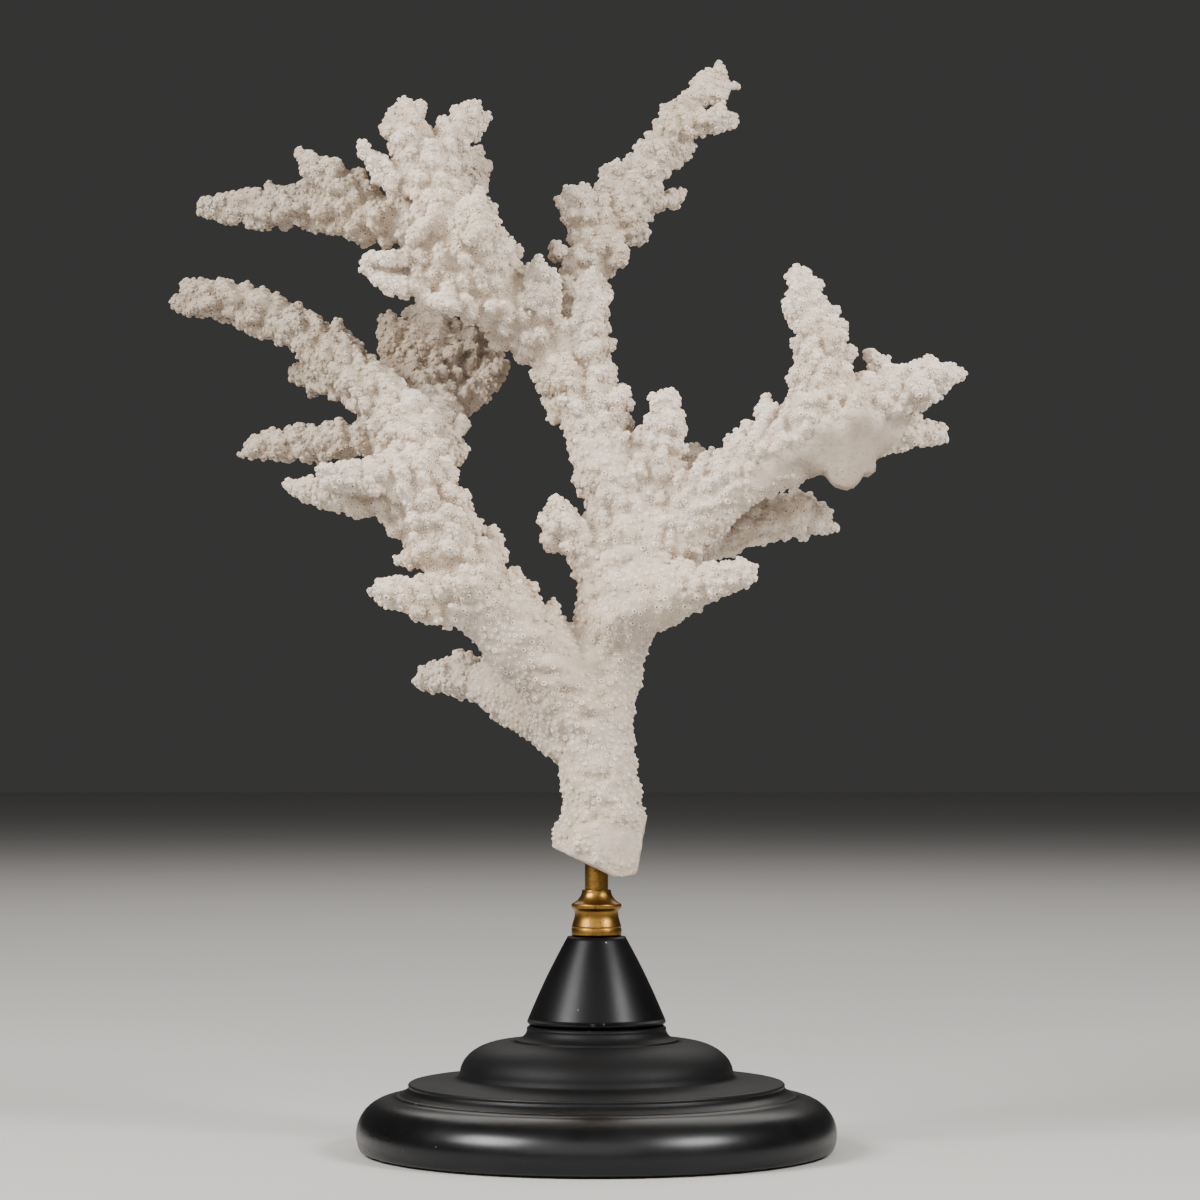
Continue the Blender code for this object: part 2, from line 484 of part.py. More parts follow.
def rod_bore(coll):
    """Cylinder that drills the foot of the stem for the rod."""
    bm = bmesh.new()
    depth = (ROD_TOP + GAP - 60) * MM
    bmesh.ops.create_cone(bm, cap_ends=True, segments=24, radius1=BORE_RADIUS * MM,
                          radius2=BORE_RADIUS * MM, depth=depth)
    bmesh.ops.translate(bm, vec=(0, 0, 60 * MM + depth / 2), verts=bm.verts)
    mesh = bpy.data.meshes.new("rod_bore")
    bm.to_mesh(mesh)
    bm.free()
    return link("rod_bore", mesh, coll)


def make_cutters(coll):
    """All cutters of the coral, drawn as wire only."""
    cutters = [rod_bore(coll)]
    for i, (point, outward) in enumerate(BREAKS):
        centre = Vector(point) + Vector(outward).normalized() * 10
        cutters.append(slab(f"break_{i}", centre, outward, 24, 24, 20, coll))
    for i, (centre, direction, half_width, half_height) in enumerate(FORKS):
        cutters.append(slab(f"fork_{i}", centre, direction, half_width, half_height, GAP, coll))
    for obj in cutters:
        obj.hide_render = True
        obj.display_type = "WIRE"


def cut_colony(obj, cutter_coll):
    """Cut the colony with every cutter at once and return the finished mesh."""
    cut = obj.modifiers.new("Cut", "BOOLEAN")
    cut.operation = "DIFFERENCE"
    cut.solver = "EXACT"
    cut.operand_type = "COLLECTION"
    cut.collection = cutter_coll
    graph = bpy.context.evaluated_depsgraph_get()
    return bpy.data.meshes.new_from_object(obj.evaluated_get(graph))


def islands(bm):
    """Groups of connected vertices."""
    seen = set()
    groups = []
    for vert in bm.verts:
        if vert in seen:
            continue
        group = []
        stack = [vert]
        seen.add(vert)
        while stack:
            here = stack.pop()
            group.append(here)
            for edge in here.link_edges:
                other = edge.other_vert(here)
                if other not in seen:
                    seen.add(other)
                    stack.append(other)
        groups.append(group)
    return groups


def island_mesh(bm, group):
    """New mesh holding one group of connected vertices."""
    order = {vert: i for i, vert in enumerate(group)}
    faces = {face for vert in group for face in vert.link_faces}
    faces = sorted(faces, key=lambda face: face.index)
    mesh = bpy.data.meshes.new("piece")
    mesh.from_pydata([vert.co for vert in group], [], [[order[v] for v in face.verts] for face in faces])
    return mesh


def build_coral(coll, cutter_coll):
    """Grow the colony, part it at its forks and name the pieces."""
    colony = grow_colony(bpy.context.scene.collection)
    make_cutters(cutter_coll)
    mesh = cut_colony(colony, cutter_coll)
    bpy.data.objects.remove(colony, do_unlink=True)
    bm = bmesh.new()
    bm.from_mesh(mesh)
    bpy.data.meshes.remove(mesh)
    bmesh.ops.remove_doubles(bm, verts=bm.verts, dist=0.00001)
    bmesh.ops.triangulate(bm, faces=bm.faces)
    bm.faces.index_update()
    groups = [group for group in islands(bm) if len(group) > 40]
    for name, point in PIECES.items():
        target = Vector(point) * MM
        group = min(groups, key=lambda g: min((vert.co - target).length for vert in g))
        piece = link(name, island_mesh(bm, group), coll)
        piece.data.materials.append(coral_material(name))
    bm.free()


def main():
    """Build the stand and the coral."""
    clear_scene()
    parts = new_collection("acropora_coral_on_stand")
    cutters = new_collection("cutters")
    build_base(parts)
    build_cone(parts)
    build_collar(parts)
    build_rod(parts)
    build_coral(parts, cutters)


main()
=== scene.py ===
"""White acropora coral skeleton on a brass rod and a turned black stand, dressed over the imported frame.

Metres, +Z up, front toward -Y. The coral's skin is regrown from the frame's solids as one closed
surface covered in buds, and thousands of small cups (corallites) are set on it as real mesh.
"""

import heapq
import math

import bmesh
import bpy
import numpy as np
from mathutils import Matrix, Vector, noise
from mathutils.bvhtree import BVHTree
from mathutils.kdtree import KDTree


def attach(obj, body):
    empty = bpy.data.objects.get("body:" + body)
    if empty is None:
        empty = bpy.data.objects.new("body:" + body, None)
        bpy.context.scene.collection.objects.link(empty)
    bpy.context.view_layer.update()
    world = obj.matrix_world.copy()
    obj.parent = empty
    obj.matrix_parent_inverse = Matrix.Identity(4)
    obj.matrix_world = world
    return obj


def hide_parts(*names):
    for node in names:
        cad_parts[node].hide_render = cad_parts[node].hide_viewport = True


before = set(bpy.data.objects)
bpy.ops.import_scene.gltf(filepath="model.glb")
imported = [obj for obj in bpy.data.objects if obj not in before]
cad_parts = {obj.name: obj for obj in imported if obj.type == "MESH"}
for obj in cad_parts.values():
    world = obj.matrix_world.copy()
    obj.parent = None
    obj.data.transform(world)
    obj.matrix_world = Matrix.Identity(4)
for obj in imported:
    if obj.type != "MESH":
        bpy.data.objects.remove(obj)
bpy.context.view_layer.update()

MM = 0.001
SEED = 7
CORAL_NODES = sorted(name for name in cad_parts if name.startswith("coral_"))

# Coral skin
SWELL = 0.2 * MM
WELD = 0.000002
GUIDE_VOXEL = 0.95 * MM
SKIN_VOXEL = 0.72 * MM
SKIN_TRIANGLES = 190000
FOOT_TOP = 79.0 * MM
FOOT_LIMIT = 0.090
FOOT_EXTRA = 2.2 * MM
FOOT_GRIT = 0.22 * MM
STEM_BORE = 3.9 * MM
TIP_REACH = 26.0 * MM
TIP_LOWEST = 0.02
WIDE_ROUNDS = 40

# Radius and height of the space round the bore where the skin is bare, in mm, and where no cup stands
BORE_BARE = (STEM_BORE / MM + 0.6, 98.0)
BORE_EMPTY = (STEM_BORE + 0.8 * MM, 98.5 * MM)

# How dark the skin is, mostly painted shade: between the cups, in its hollows, on the stem and where bare; on
# the broken faces partly their own brown and partly painted shade of their underside
SKIN_SHADE = 0.36
HOLLOW_SHADE = 0.24
STEM_SHADE = 0.18
BARE_SHADE = 0.02
BREAK_SHADE = 0.38

# Rays that measure how thick the coral is and how near the next branch
RAY_START = 0.05 * MM
RAY_REACH = 60.0 * MM

# Waves of the stem: height, size and seed of each layer of noise
BROAD_WAVE = (0.9 * MM, 9.0 * MM, 1)
SHORT_WAVE = (1.2 * MM, 3.8 * MM, 2)
RIDGE_WAVE = (1.1 * MM, 2.8 * MM, 3)

# Broad lumps of the thick limbs, and the thickness and the free space from which they rise
LUMP_WAVE = (2.6 * MM, 9.0 * MM, 4)
LUMP_THICKNESS = (14.0 * MM, 22.0 * MM)
LUMP_CLEARANCE = (3.0 * MM, 8.0 * MM)

# Side buds that cover the limbs, and the mounds they fade to on the stem
BUD_SPACING = 4.1 * MM
BUD_RADIUS = 1.85 * MM
BUD_LENGTH = 2.7 * MM
BUD_INSET = 2.6 * MM
BUD_LEAN = 53.0
BUD_SMALLEST = 0.84
BUD_VARIETY = 0.32
BUD_CLEARANCE = 2.6 * MM
BUD_TRIES = 60000
MOUND_INSET = 0.5 * MM
THIN_INSET = 0.9 * MM
THICKNESS_SHARE = 0.155
BUDDED_THICKNESS = (6.5 * MM, 9.5 * MM)
BUDDED_CLEARANCE = (1.5 * MM, 5.0 * MM)

# Side buds that stand out long in the photo: foot and tip in X and Z, and half their width, in mm
LONG_BUDS = (
    ((-17.3, 229.5), (-15.7, 243.0), 2.2),
    ((-11.0, 225.5), (-11.7, 239.6), 1.9),
    ((-5.6, 225.0), (-1.0, 240.2), 2.3),
    ((0.2, 230.0), (3.2, 232.8), 1.9),
    ((-2.4, 223.4), (0.9, 226.2), 2.0),
    ((-3.8, 217.0), (0.2, 219.8), 2.3),
    ((-0.4, 211.6), (3.6, 213.8), 2.2),
    ((4.0, 204.2), (8.0, 207.0), 2.5),
    ((-27.5, 243.0), (-23.5, 246.6), 2.5),
    ((-35.5, 253.2), (-31.5, 256.6), 3.3),
    ((-34.0, 246.0), (-30.8, 249.4), 2.4),
    ((-47.0, 231.8), (-38.5, 229.8), 2.0),
    ((-50.5, 247.0), (-45.0, 252.5), 2.4),
)
LONG_BUD_RISE = 2.5 * MM
RAY_FRONT = -0.2

# The foot of the stem is broken off along these faces: a point on each in mm, and its outward side
BREAKS = (
    ((2.3, 0.0, 76.2), (-0.42, 0.0, -0.9)),
    ((4.0, 0.0, 75.8), (0.04, 0.1, -0.99)),
    ((11.0, 0.0, 78.0), (0.97, 0.1, -0.2)),
    ((0.0, 8.0, 77.2), (-0.1, 0.55, -0.83)),
)

# Lump under the right limb, in mm: its width, the fades of its outline and the depth of its flat front
LUMP_MIDDLE = 67.0
LUMP_HALF = 9.5
LUMP_LOW = (177.5, 179.5)
LUMP_HIGH = (188.0, 196.0)
LUMP_BACK = (-15.0, -11.0)
LUMP_FRONT = -27.7
LUMP_SLANT = 0.42

# Soft oval spots: middle in X and Z, half width and half height, in mm
NOTCH = ((71.0, 182.8), (1.3, 3.0))
LUMP_SIDE = ((62.0, 184.0), (2.0, 2.2))
HOLLOW_SPOT = ((-4.0, 133.0), (5.5, 3.4))
WORN_SPOT = ((6.0, 84.0), (6.5, 5.2))
BROWN_SPOT = ((-4.0, 133.0), (5.0, 3.0))
# Grey patch at the root of the left limb
GREY_ROOT_SPOT = ((-20.0, 126.0), (3.0, 3.5))

# Grey-beige painted shade at the back, in the cluster and at the far left; the spots on the stem; and the X
# range in mm where the smooth zone's painted shade fades in
BACK_PAINTED_SHADE = 0.46
CLUSTER_PAINTED_SHADE = 0.34
LEFT_PAINTED_SHADE = 0.28
SPOT_TONES = ((BROWN_SPOT, 0.7), (WORN_SPOT, 0.45), (GREY_ROOT_SPOT, 0.8))
LIMB_TONE_START = (42.0, 56.0)

# Groove between the two small fingers under the crown, in mm
GROOVE_START = (-65.0, -62.0)
GROOVE_END = (-52.5, -48.5)
GROOVE_BACK = -6.0
GROOVE_LEVEL = 239.3
GROOVE_HALF = 0.75
GROOVE_DEPTH = 5.4

# Smooth front of the right limb, in mm: the line where its buds end, and the fades round it
LIMB_EDGE_X = (14.0, 21.0, 37.0, 57.0, 69.0, 86.0)
LIMB_EDGE_Z = (160.0, 172.0, 181.0, 194.0, 200.0, 198.0)
LIMB_START = (15.0, 24.0)
LIMB_END = (78.0, 88.0)
LIMB_FRONT = (-6.0, 2.0)
LIMB_TOP = (-5.0, 4.0)
LIMB_FOOT = (160.0, 167.0)
BARE_START = (36.0, 48.0)
BARE_LUMP_X = (56.0, 78.0)
BARE_LUMP_TOP = 193.0

# Stem, its fork and the fingers below the right limb, in mm: the fades where each ends
STEM_TOP = (150.0, 176.0)
CORE_SIDE = (10.0, 26.0)
CORE_TOP = (186.0, 206.0)
FORK_SIDE = (8.0, 13.0)
FORK_TOP = (155.0, 163.0)
LOBE_START = (22.0, 32.0)
LOBE_TOP = (186.0, 194.0)

# Corallites: spacing, lean in degrees, and in mm the radius, height and buried part; of two numbers, the
# second is the random part
CANDIDATES = 520000
SPACING_KNOB = 1.38 * MM
SPACING_STEM = 1.70 * MM
SPACING_BARE = 1.7 * MM
SPACING_THIN = 0.22 * MM
KNOB_LEAN = 8.0
RING_LEAN = 22.0
KNOB_RADIUS = 0.74
RING_RADIUS = (0.45, 0.38)
KNOB_HEIGHT = 0.50
RING_HEIGHT = (0.20, 0.34)
KNOB_BURIED = 0.6
RING_BURIED = 0.4
FAINT_LEFT_OUT = 0.2

# Rings of one cup from its buried foot to the floor of its pore: share of the radius,
# share of the height, depth shade, which is painted shade: dark at the foot and in the pore, pale on the lip
KNOB = ((1.02, -1.0, 0.60), (1.0, 0.50, 0.18), (0.56, 1.0, 0.06), (0.24, 0.66, 1.0))
RING = ((1.20, -1.0, 0.55), (0.86, 0.80, 0.06), (0.50, 0.95, 0.10), (0.36, 0.10, 1.0))
FAINT = ((1.25, -1.0, 0.30), (0.72, 1.0, 0.22), (0.40, 0.75, 0.72))
# Ring shades above this are the pore's painted shade, scaled by each cup's pore darkness
PORE_SHADE = 0.9

# Nodes whose cups are joined into one piece, and the height range of the stem's share
CUP_GROUPS = {
    "corallites_trunk_low": (("coral_trunk",), 0.0, 0.150),
    "corallites_trunk_high": (("coral_trunk",), 0.150, 1.0),
    "corallites_left": (("coral_left_limb", "coral_middle_finger", "coral_high_finger",
                         "coral_lower_finger"), 0.0, 1.0),
    "corallites_left_back": (("coral_left_branch", "coral_rear_cluster"), 0.0, 1.0),
    "corallites_crown": (("coral_crown", "coral_top_left_branch"), 0.0, 1.0),
    "corallites_top_right": (("coral_top_right_branch", "coral_upright_branch"), 0.0, 1.0),
    "corallites_right": (("coral_right_limb", "coral_rear_lobe", "coral_right_finger"), 0.0, 1.0),
}

# Stand, in mm
ROD_RADIUS = 3.175
ROD_LOW = 42.0
ROD_HIGH = 96.0
BORE_RADIUS = 3.475
CONE_WALL_TOP = (7.9, 58.6)
CONE_WALL_FOOT = (18.9, 35.7)
CONE_BULGE = 0.4
CONE_STEPS = 24
COLLAR_BORE = 3.3
COLLAR_LOW = 58.9

# Edges where the lacquer is rubbed through: radius and height in mm, and how far it spreads
BASE_WORN = ((21.9, 30.7), (50.9, 18.75), (54.3, 15.6), (18.9, 34.2))
CONE_WORN = ((18.9, 35.4), (7.6, 58.6))
WEAR_REACH = 0.38

# Heights on the base between which fine dust begins to dull the lacquer
DULL_FROM = 15.0 * MM
DULL_TO = 21.0 * MM

# Camera that took the photo, fitted to the rings of the stand
CAMERA_PLACE = (0.00003, -1.1109, 0.1250)
CAMERA_LENS = 121.88
CAMERA_SENSOR = 36.0
CAMERA_RANGE = (0.01, 50.0)
CAMERA_TILT = 1.311
CAMERA_TURN = 0.0475

# Softboxes: place, point they face, width and height, and power in watts
LIGHT_COLOUR = (1.0, 0.95, 0.89)
CORAL_MIDDLE = (0.0, 0.0, 0.17)
SOFTBOXES = {
    "softbox_left": ((-0.84, -0.52, 0.76), CORAL_MIDDLE, (0.50, 0.40), 23.0),
    "softbox_right": ((0.78, -0.56, 0.72), CORAL_MIDDLE, (0.36, 0.32), 16.5),
    "softbox_front": ((-0.25, -1.50, 0.85), CORAL_MIDDLE, (1.80, 1.20), 12.5),
    "softbox_back": ((0.10, 1.10, 1.20), (0.0, 0.35, 0.0), (1.60, 1.00), 12.0),
}
ROOM_COLOUR = (0.61, 0.60, 0.59, 1.0)
ROOM_STRENGTH = 0.07
FLOOR_HALF = 4.0

WHITE = (1.0, 1.0, 1.0)
BLACK = (0.0, 0.0, 0.0)


def smoothstep(low, high, x):
    """0 below low, 1 above high, smooth in between."""
    t = np.clip((x - low) / (high - low), 0.0, 1.0)
    return t * t * (3.0 - 2.0 * t)


def fade(low, high, x):
    """1 below low, 0 above high, smooth in between."""
    return 1.0 - smoothstep(low, high, x)


def spot(x, z, middle_and_size, sharpness=1):
    """Soft oval spot: 1 in its middle and 0 far from it."""
    (middle_x, middle_z), (half_x, half_z) = middle_and_size
    off = ((x - middle_x) / half_x) ** 2 + ((z - middle_z) / half_z) ** 2
    return np.exp(-off ** sharpness)


def in_mm(co):
    """X, Y and Z of the points in millimetres."""
    return co[:, 0] / MM, co[:, 1] / MM, co[:, 2] / MM


def unit(v):
    """Rows scaled to length one."""
    return v / np.maximum(np.linalg.norm(v, axis=1, keepdims=True), 1e-12)


def add_object(name, data):
    """Object in the scene around its data."""
    obj = bpy.data.objects.new(name, data)
    bpy.context.scene.collection.objects.link(obj)
    return obj


def mesh_of(name, verts, loops, starts):
    """Mesh from arrays: points, corner indices, and where the corners of each face start."""
    mesh = bpy.data.meshes.new(name)
    mesh.vertices.add(len(verts))
    mesh.vertices.foreach_set("co", verts.ravel())
    mesh.loops.add(len(loops))
    mesh.loops.foreach_set("vertex_index", loops)
    mesh.polygons.add(len(starts))
    mesh.polygons.foreach_set("loop_start", starts)
    mesh.update(calc_edges=True)
    return mesh


def mark(mesh, name, values):
    """Number at each vertex that the material reads."""
    layer = mesh.attributes.new(name, "FLOAT", "POINT")
    layer.data.foreach_set("value", values)


def node_material(name):
    """Empty node material with its Principled shader, and a small builder for nodes."""
    mat = bpy.data.materials.new(name)
    mat.use_nodes = True
    tree = mat.node_tree
    shader = tree.nodes["Principled BSDF"]

    def add(kind, inputs=(), **settings):
        node = tree.nodes.new(kind)
        for key, value in settings.items():
            setattr(node, key, value)
        for key, value in dict(inputs).items():
            if isinstance(value, bpy.types.NodeSocket):
                tree.links.new(value, node.inputs[key])
            else:
                node.inputs[key].default_value = value
        return node

    def join(source, target):
        tree.links.new(source, shader.inputs[target])

    return mat, shader, add, join


def attribute(add, name):
    """Number that a mesh carries at its vertices."""
    return add("ShaderNodeAttribute", attribute_name=name).outputs["Fac"]


def noise_value(add, where, scale, detail, roughness=0.5):
    """Cloudy noise over the surface."""
    node = add("ShaderNodeTexNoise",
               {"Vector": where, "Scale": scale, "Detail": detail, "Roughness": roughness})
    return node.outputs["Fac"]


def ramp(add, value, stops):
    """Colour ramp over a value: stops are (place, colour)."""
    node = add("ShaderNodeValToRGB", {"Fac": value})
    points = node.color_ramp.elements
    while len(points) < len(stops):
        points.new(0.5)
    for point, (place, colour) in zip(points, stops):
        point.position = place
        point.color = (*colour, 1.0)
    return node.outputs["Color"]


def remap(add, value, low, high, start, end):
    """Value moved from the range low to high into the range start to end."""
    node = add("ShaderNodeMapRange", {"Value": value, "From Min": low, "From Max": high,
                                      "To Min": start, "To Max": end})
    return node.outputs["Result"]


def mix_colour(add, factor, a, b, blend="MIX"):
    """Blend of two colours."""
    node = add("ShaderNodeMix", {0: factor, 6: a, 7: b}, data_type="RGBA", blend_type=blend)
    return node.outputs[2]


def multiplied(add, colour, *layers):
    """Colour darkened by one layer after the other."""
    for layer in layers:
        colour = mix_colour(add, 1.0, colour, layer, "MULTIPLY")
    return colour


def math_node(add, operation, a, b):
    """One arithmetic node."""
    return add("ShaderNodeMath", {0: a, 1: b}, operation=operation).outputs[0]


def bump(add, strength, distance, first, second, share):
    """Normals bent by one height and a share of another."""
    height = math_node(add, "ADD", first, math_node(add, "MULTIPLY", second, share))
    node = add("ShaderNodeBump", {"Strength": strength, "Distance": distance, "Height": height})
    return node.outputs["Normal"]


def coral_material():
    """Warm white chalk with a fine grain; painted shade makes the hollows beige, the pores brown and the parts
    at the back grey-beige.
    """
    mat, shader, add, join = node_material("coral_chalk")
    where = add("ShaderNodeTexCoord").outputs["Object"]
    stain_and_shade = noise_value(add, where, 38.0, 4.0, 0.6)
    patch = noise_value(add, where, 120.0, 3.0, 0.6)
    mottle = noise_value(add, where, 430.0, 3.0, 0.6)
    sponge = noise_value(add, where, 1000.0, 3.0, 0.65)
    grain = noise_value(add, where, 2600.0, 3.0, 0.7)
    # Painted shade: paler on the lips, beige in the hollows and at the cup feet, brown in the pores
    body = ramp(add, attribute(add, "depth"),
                [(0.0, (0.95, 0.87, 0.79)), (0.35, (0.84, 0.745, 0.65)),
                 (0.70, (0.58, 0.49, 0.405)), (1.0, (0.18, 0.13, 0.09))])
    # Grey-beige painted shade at the back, in the cluster, at the far left and on the smooth zone, together
    # with the spots on the stem
    aged_and_shaded = ramp(add, attribute(add, "tone"), [(0.0, WHITE), (1.0, (0.50, 0.48, 0.455))])
    warm = ramp(add, stain_and_shade, [(0.42, WHITE), (0.72, (0.93, 0.885, 0.815))])
    dapple = ramp(add, mottle, [(0.32, (0.86, 0.845, 0.825)), (0.58, WHITE)])
    spots = ramp(add, patch, [(0.40, (0.955, 0.95, 0.945)), (0.60, WHITE)])
    fine = ramp(add, grain, [(0.30, (0.93, 0.92, 0.91)), (0.60, WHITE)])
    join(multiplied(add, body, warm, aged_and_shaded, dapple, spots, fine), "Base Color")
    join(bump(add, 0.6, 0.0005, sponge, grain, 0.45), "Normal")
    shader.inputs["Roughness"].default_value = 0.78
    shader.inputs["Specular IOR Level"].default_value = 0.35
    shader.inputs["Subsurface Weight"].default_value = 0.25
    shader.inputs["Subsurface Radius"].default_value = (1.0, 0.85, 0.7)
    shader.inputs["Subsurface Scale"].default_value = 0.0016
    return mat


def lacquer_material(name, roughness, shine, rarity, dulled):
    """Black satin lacquer with orange peel, dust specks and nicks, dulled above its lowest step or not."""
    mat, shader, add, join = node_material(name)
    where = add("ShaderNodeTexCoord").outputs["Object"]
    cloud = noise_value(add, where, 45.0, 4.0, 0.6)
    peel = noise_value(add, where, 420.0, 2.0)
    chips = noise_value(add, where, 620.0, 4.0, 0.75)
    rare = noise_value(add, where, 170.0, 2.0)
    specks = add("ShaderNodeTexVoronoi", {"Vector": where, "Scale": 260.0, "Randomness": 1.0})
    near = ramp(add, specks.outputs["Distance"], [(0.0, WHITE), (0.045, WHITE), (0.07, BLACK)])
    seldom = ramp(add, rare, [(rarity, BLACK), (rarity + 0.04, WHITE)])
    dust = multiplied(add, near, seldom)
    chafed = math_node(add, "MULTIPLY", attribute(add, "wear"),
                       ramp(add, chips, [(0.63, BLACK), (0.72, WHITE)]))
    film = ramp(add, cloud, [(0.35, (0.0022, 0.0022, 0.0025)), (0.75, (0.0045, 0.0045, 0.0050))])
    colour = mix_colour(add, chafed, film, (0.16, 0.155, 0.15, 1.0))
    join(mix_colour(add, dust, colour, (0.30, 0.29, 0.275, 1.0)), "Base Color")
    join(bump(add, 0.12, 0.0001, peel, dust, 2.0), "Normal")
    matt = remap(add, cloud, 0.3, 0.7, roughness - 0.04, roughness + 0.07)
    if dulled:
        level = add("ShaderNodeSeparateXYZ", {"Vector": where}).outputs["Z"]
        matt = math_node(add, "ADD", matt, remap(add, level, DULL_FROM, DULL_TO, 0.0, 0.26))
        join(remap(add, level, DULL_FROM, DULL_TO, shine, 0.55 * shine), "Specular IOR Level")
    else:
        shader.inputs["Specular IOR Level"].default_value = shine
    join(math_node(add, "MAXIMUM", matt, math_node(add, "MULTIPLY", dust, 0.8)), "Roughness")
    shader.inputs["Specular Tint"].default_value = (0.88, 0.94, 1.0, 1.0)
    return mat


def brass_material(name):
    """Aged satin brass with turning marks, brown patches and dark pits."""
    mat, shader, add, join = node_material(name)
    where = add("ShaderNodeTexCoord").outputs["Object"]
    around = add("ShaderNodeMapping", {"Vector": where, "Scale": (0.02, 0.02, 1.0)}).outputs["Vector"]
    cloud = noise_value(add, where, 230.0, 5.0, 0.65)
    pits = noise_value(add, where, 1700.0, 2.0)
    marks = noise_value(add, around, 5200.0, 2.0)
    metal = ramp(add, cloud, [(0.30, (0.125, 0.066, 0.016)), (0.50, (0.245, 0.134, 0.033)),
                              (0.72, (0.35, 0.205, 0.052))])
    pitted = ramp(add, pits, [(0.31, (0.35, 0.28, 0.20)), (0.38, WHITE)])
    join(multiplied(add, metal, pitted), "Base Color")
    join(remap(add, cloud, 0.3, 0.7, 0.42, 0.29), "Roughness")
    join(bump(add, 0.25, 0.00008, marks, pits, 0.6), "Normal")
    shader.inputs["Metallic"].default_value = 1.0
    return mat


def break_depth(co):
    """How far each point lies outside the nearest broken face of the foot, and that face's outward side."""
    deepest = np.full(len(co), -1.0)
    outward = np.zeros_like(co)
    for point, side in BREAKS:
        side = np.array(side) / np.linalg.norm(side)
        depth = (co - np.array(point) * MM) @ side
        more = (depth > deepest) & (co[:, 2] < FOOT_LIMIT)
        deepest[more] = depth[more]
        outward[more] = side
    return deepest, outward


def remeshed(mesh, voxel, rounds, limit=0):
    """Closed voxel skin of a mesh, softened, and thinned out to a number of triangles."""
    obj = add_object("skin_guide", mesh)
    fuse = obj.modifiers.new("Fuse", "REMESH")
    fuse.mode = "VOXEL"
    fuse.voxel_size = voxel
    soften = obj.modifiers.new("Soften", "SMOOTH")
    soften.factor = 0.5
    soften.iterations = rounds
    graph = bpy.context.evaluated_depsgraph_get()
    if limit:
        full = 2 * len(obj.evaluated_get(graph).data.polygons)
        thin = obj.modifiers.new("Thin", "DECIMATE")
        thin.ratio = min(1.0, limit / full)
        graph = bpy.context.evaluated_depsgraph_get()
    skin = bpy.data.meshes.new_from_object(obj.evaluated_get(graph))
    bpy.data.objects.remove(obj, do_unlink=True)
    return skin


def wall_distances(co, tris, normal):
    """How thick the coral is behind each point, and how far off the next wall is in front of it."""
    tree = BVHTree.FromPolygons([tuple(p) for p in co.tolist()], tris.tolist())
    thick = []
    clear = []
    for place, side in zip(co.tolist(), normal.tolist()):
        place, side = Vector(place), Vector(side)
        for distances, way in ((thick, -1.0), (clear, 1.0)):
            hit = tree.ray_cast(place + side * (way * RAY_START), side * way, RAY_REACH)
            distances.append(RAY_REACH if hit[3] is None else hit[3] + RAY_START)
    return np.array(thick), np.array(clear)


def shape_lump(co, normal):
    """Lump under the right limb with a flat upright front, parted into two lobes by a notch below."""
    x, y, z = in_mm(co)
    co = co.copy()
    here = np.exp(-((x - LUMP_MIDDLE) / LUMP_HALF) ** 4) * fade(*LUMP_HIGH, z) * smoothstep(*LUMP_LOW, z)
    here *= smoothstep(0.0, 0.35, -normal[:, 1]) * fade(*LUMP_BACK, y)
    ripple = 0.3 * np.cos((x - 65.0) * 0.55)
    plate = LUMP_FRONT + LUMP_SLANT * np.maximum(x - LUMP_MIDDLE, 0.0) + ripple
    co[:, 1] += here * (plate * MM - co[:, 1])
    co[:, 2] += 2.2 * MM * spot(x, z, NOTCH)
    side = spot(x, z, LUMP_SIDE) * smoothstep(0.0, 0.6, -normal[:, 2])
    co[:, 2] += 0.9 * MM * side
    return co


def part_fingers(co, normal):
    """Groove that parts the two small fingers under the crown."""
    x, y, z = in_mm(co)
    co = co.copy()
    here = smoothstep(*GROOVE_START, x) * fade(*GROOVE_END, x) * (y < GROOVE_BACK)
    groove = np.exp(-((z - GROOVE_LEVEL + 0.06 * (x + 60.0)) / GROOVE_HALF) ** 2)
    co[:, 1] += GROOVE_DEPTH * MM * here * groove * smoothstep(0.0, 0.4, -normal[:, 1])
    return co


def grow_guide():
    """One closed skin over all coral solids, without gaps at the forks and with a longer foot."""
    bm = bmesh.new()
    for name in CORAL_NODES:
        part = bmesh.new()
        part.from_mesh(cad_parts[name].data)
        bmesh.ops.remove_doubles(part, verts=part.verts, dist=WELD)
        bmesh.ops.recalc_face_normals(part, faces=part.faces)
        part.normal_update()
        for vert, step in [(v, v.normal * SWELL) for v in part.verts]:
            vert.co += step
        mesh = bpy.data.meshes.new("part")
        part.to_mesh(mesh)
        part.free()
        bm.from_mesh(mesh)
        bpy.data.meshes.remove(mesh)
    mesh = bpy.data.meshes.new("skin")
    bm.to_mesh(mesh)
    bm.free()
    co = mesh_arrays(mesh)[0]
    depth, outward = break_depth(co)
    co = co + outward * (FOOT_EXTRA * (depth > -0.4 * MM))[:, None]
    mesh.vertices.foreach_set("co", co.ravel())
    mesh.update()
    guide = remeshed(mesh, GUIDE_VOXEL, 2)
    co, _, tris = mesh_arrays(guide)
    normal = vertex_normals(co, tris)
    guide.vertices.foreach_set("co", part_fingers(shape_lump(co, normal), normal).ravel())
    guide.update()
    keep_outer_skin(guide)
    return guide


def keep_outer_skin(mesh):
    """Drop any stray pocket inside the largest connected part."""
    bm = bmesh.new()
    bm.from_mesh(mesh)
    seen = set()
    groups = []
    for vert in bm.verts:
        if vert in seen:
            continue
        stack, group = [vert], []
        seen.add(vert)
        while stack:
            here = stack.pop()
            group.append(here)
            for edge in here.link_edges:
                other = edge.other_vert(here)
                if other not in seen:
                    seen.add(other)
                    stack.append(other)
        groups.append(group)
    groups.sort(key=len)
    for group in groups[:-1]:
        bmesh.ops.delete(bm, geom=group, context="VERTS")
    bm.to_mesh(mesh)
    bm.free()


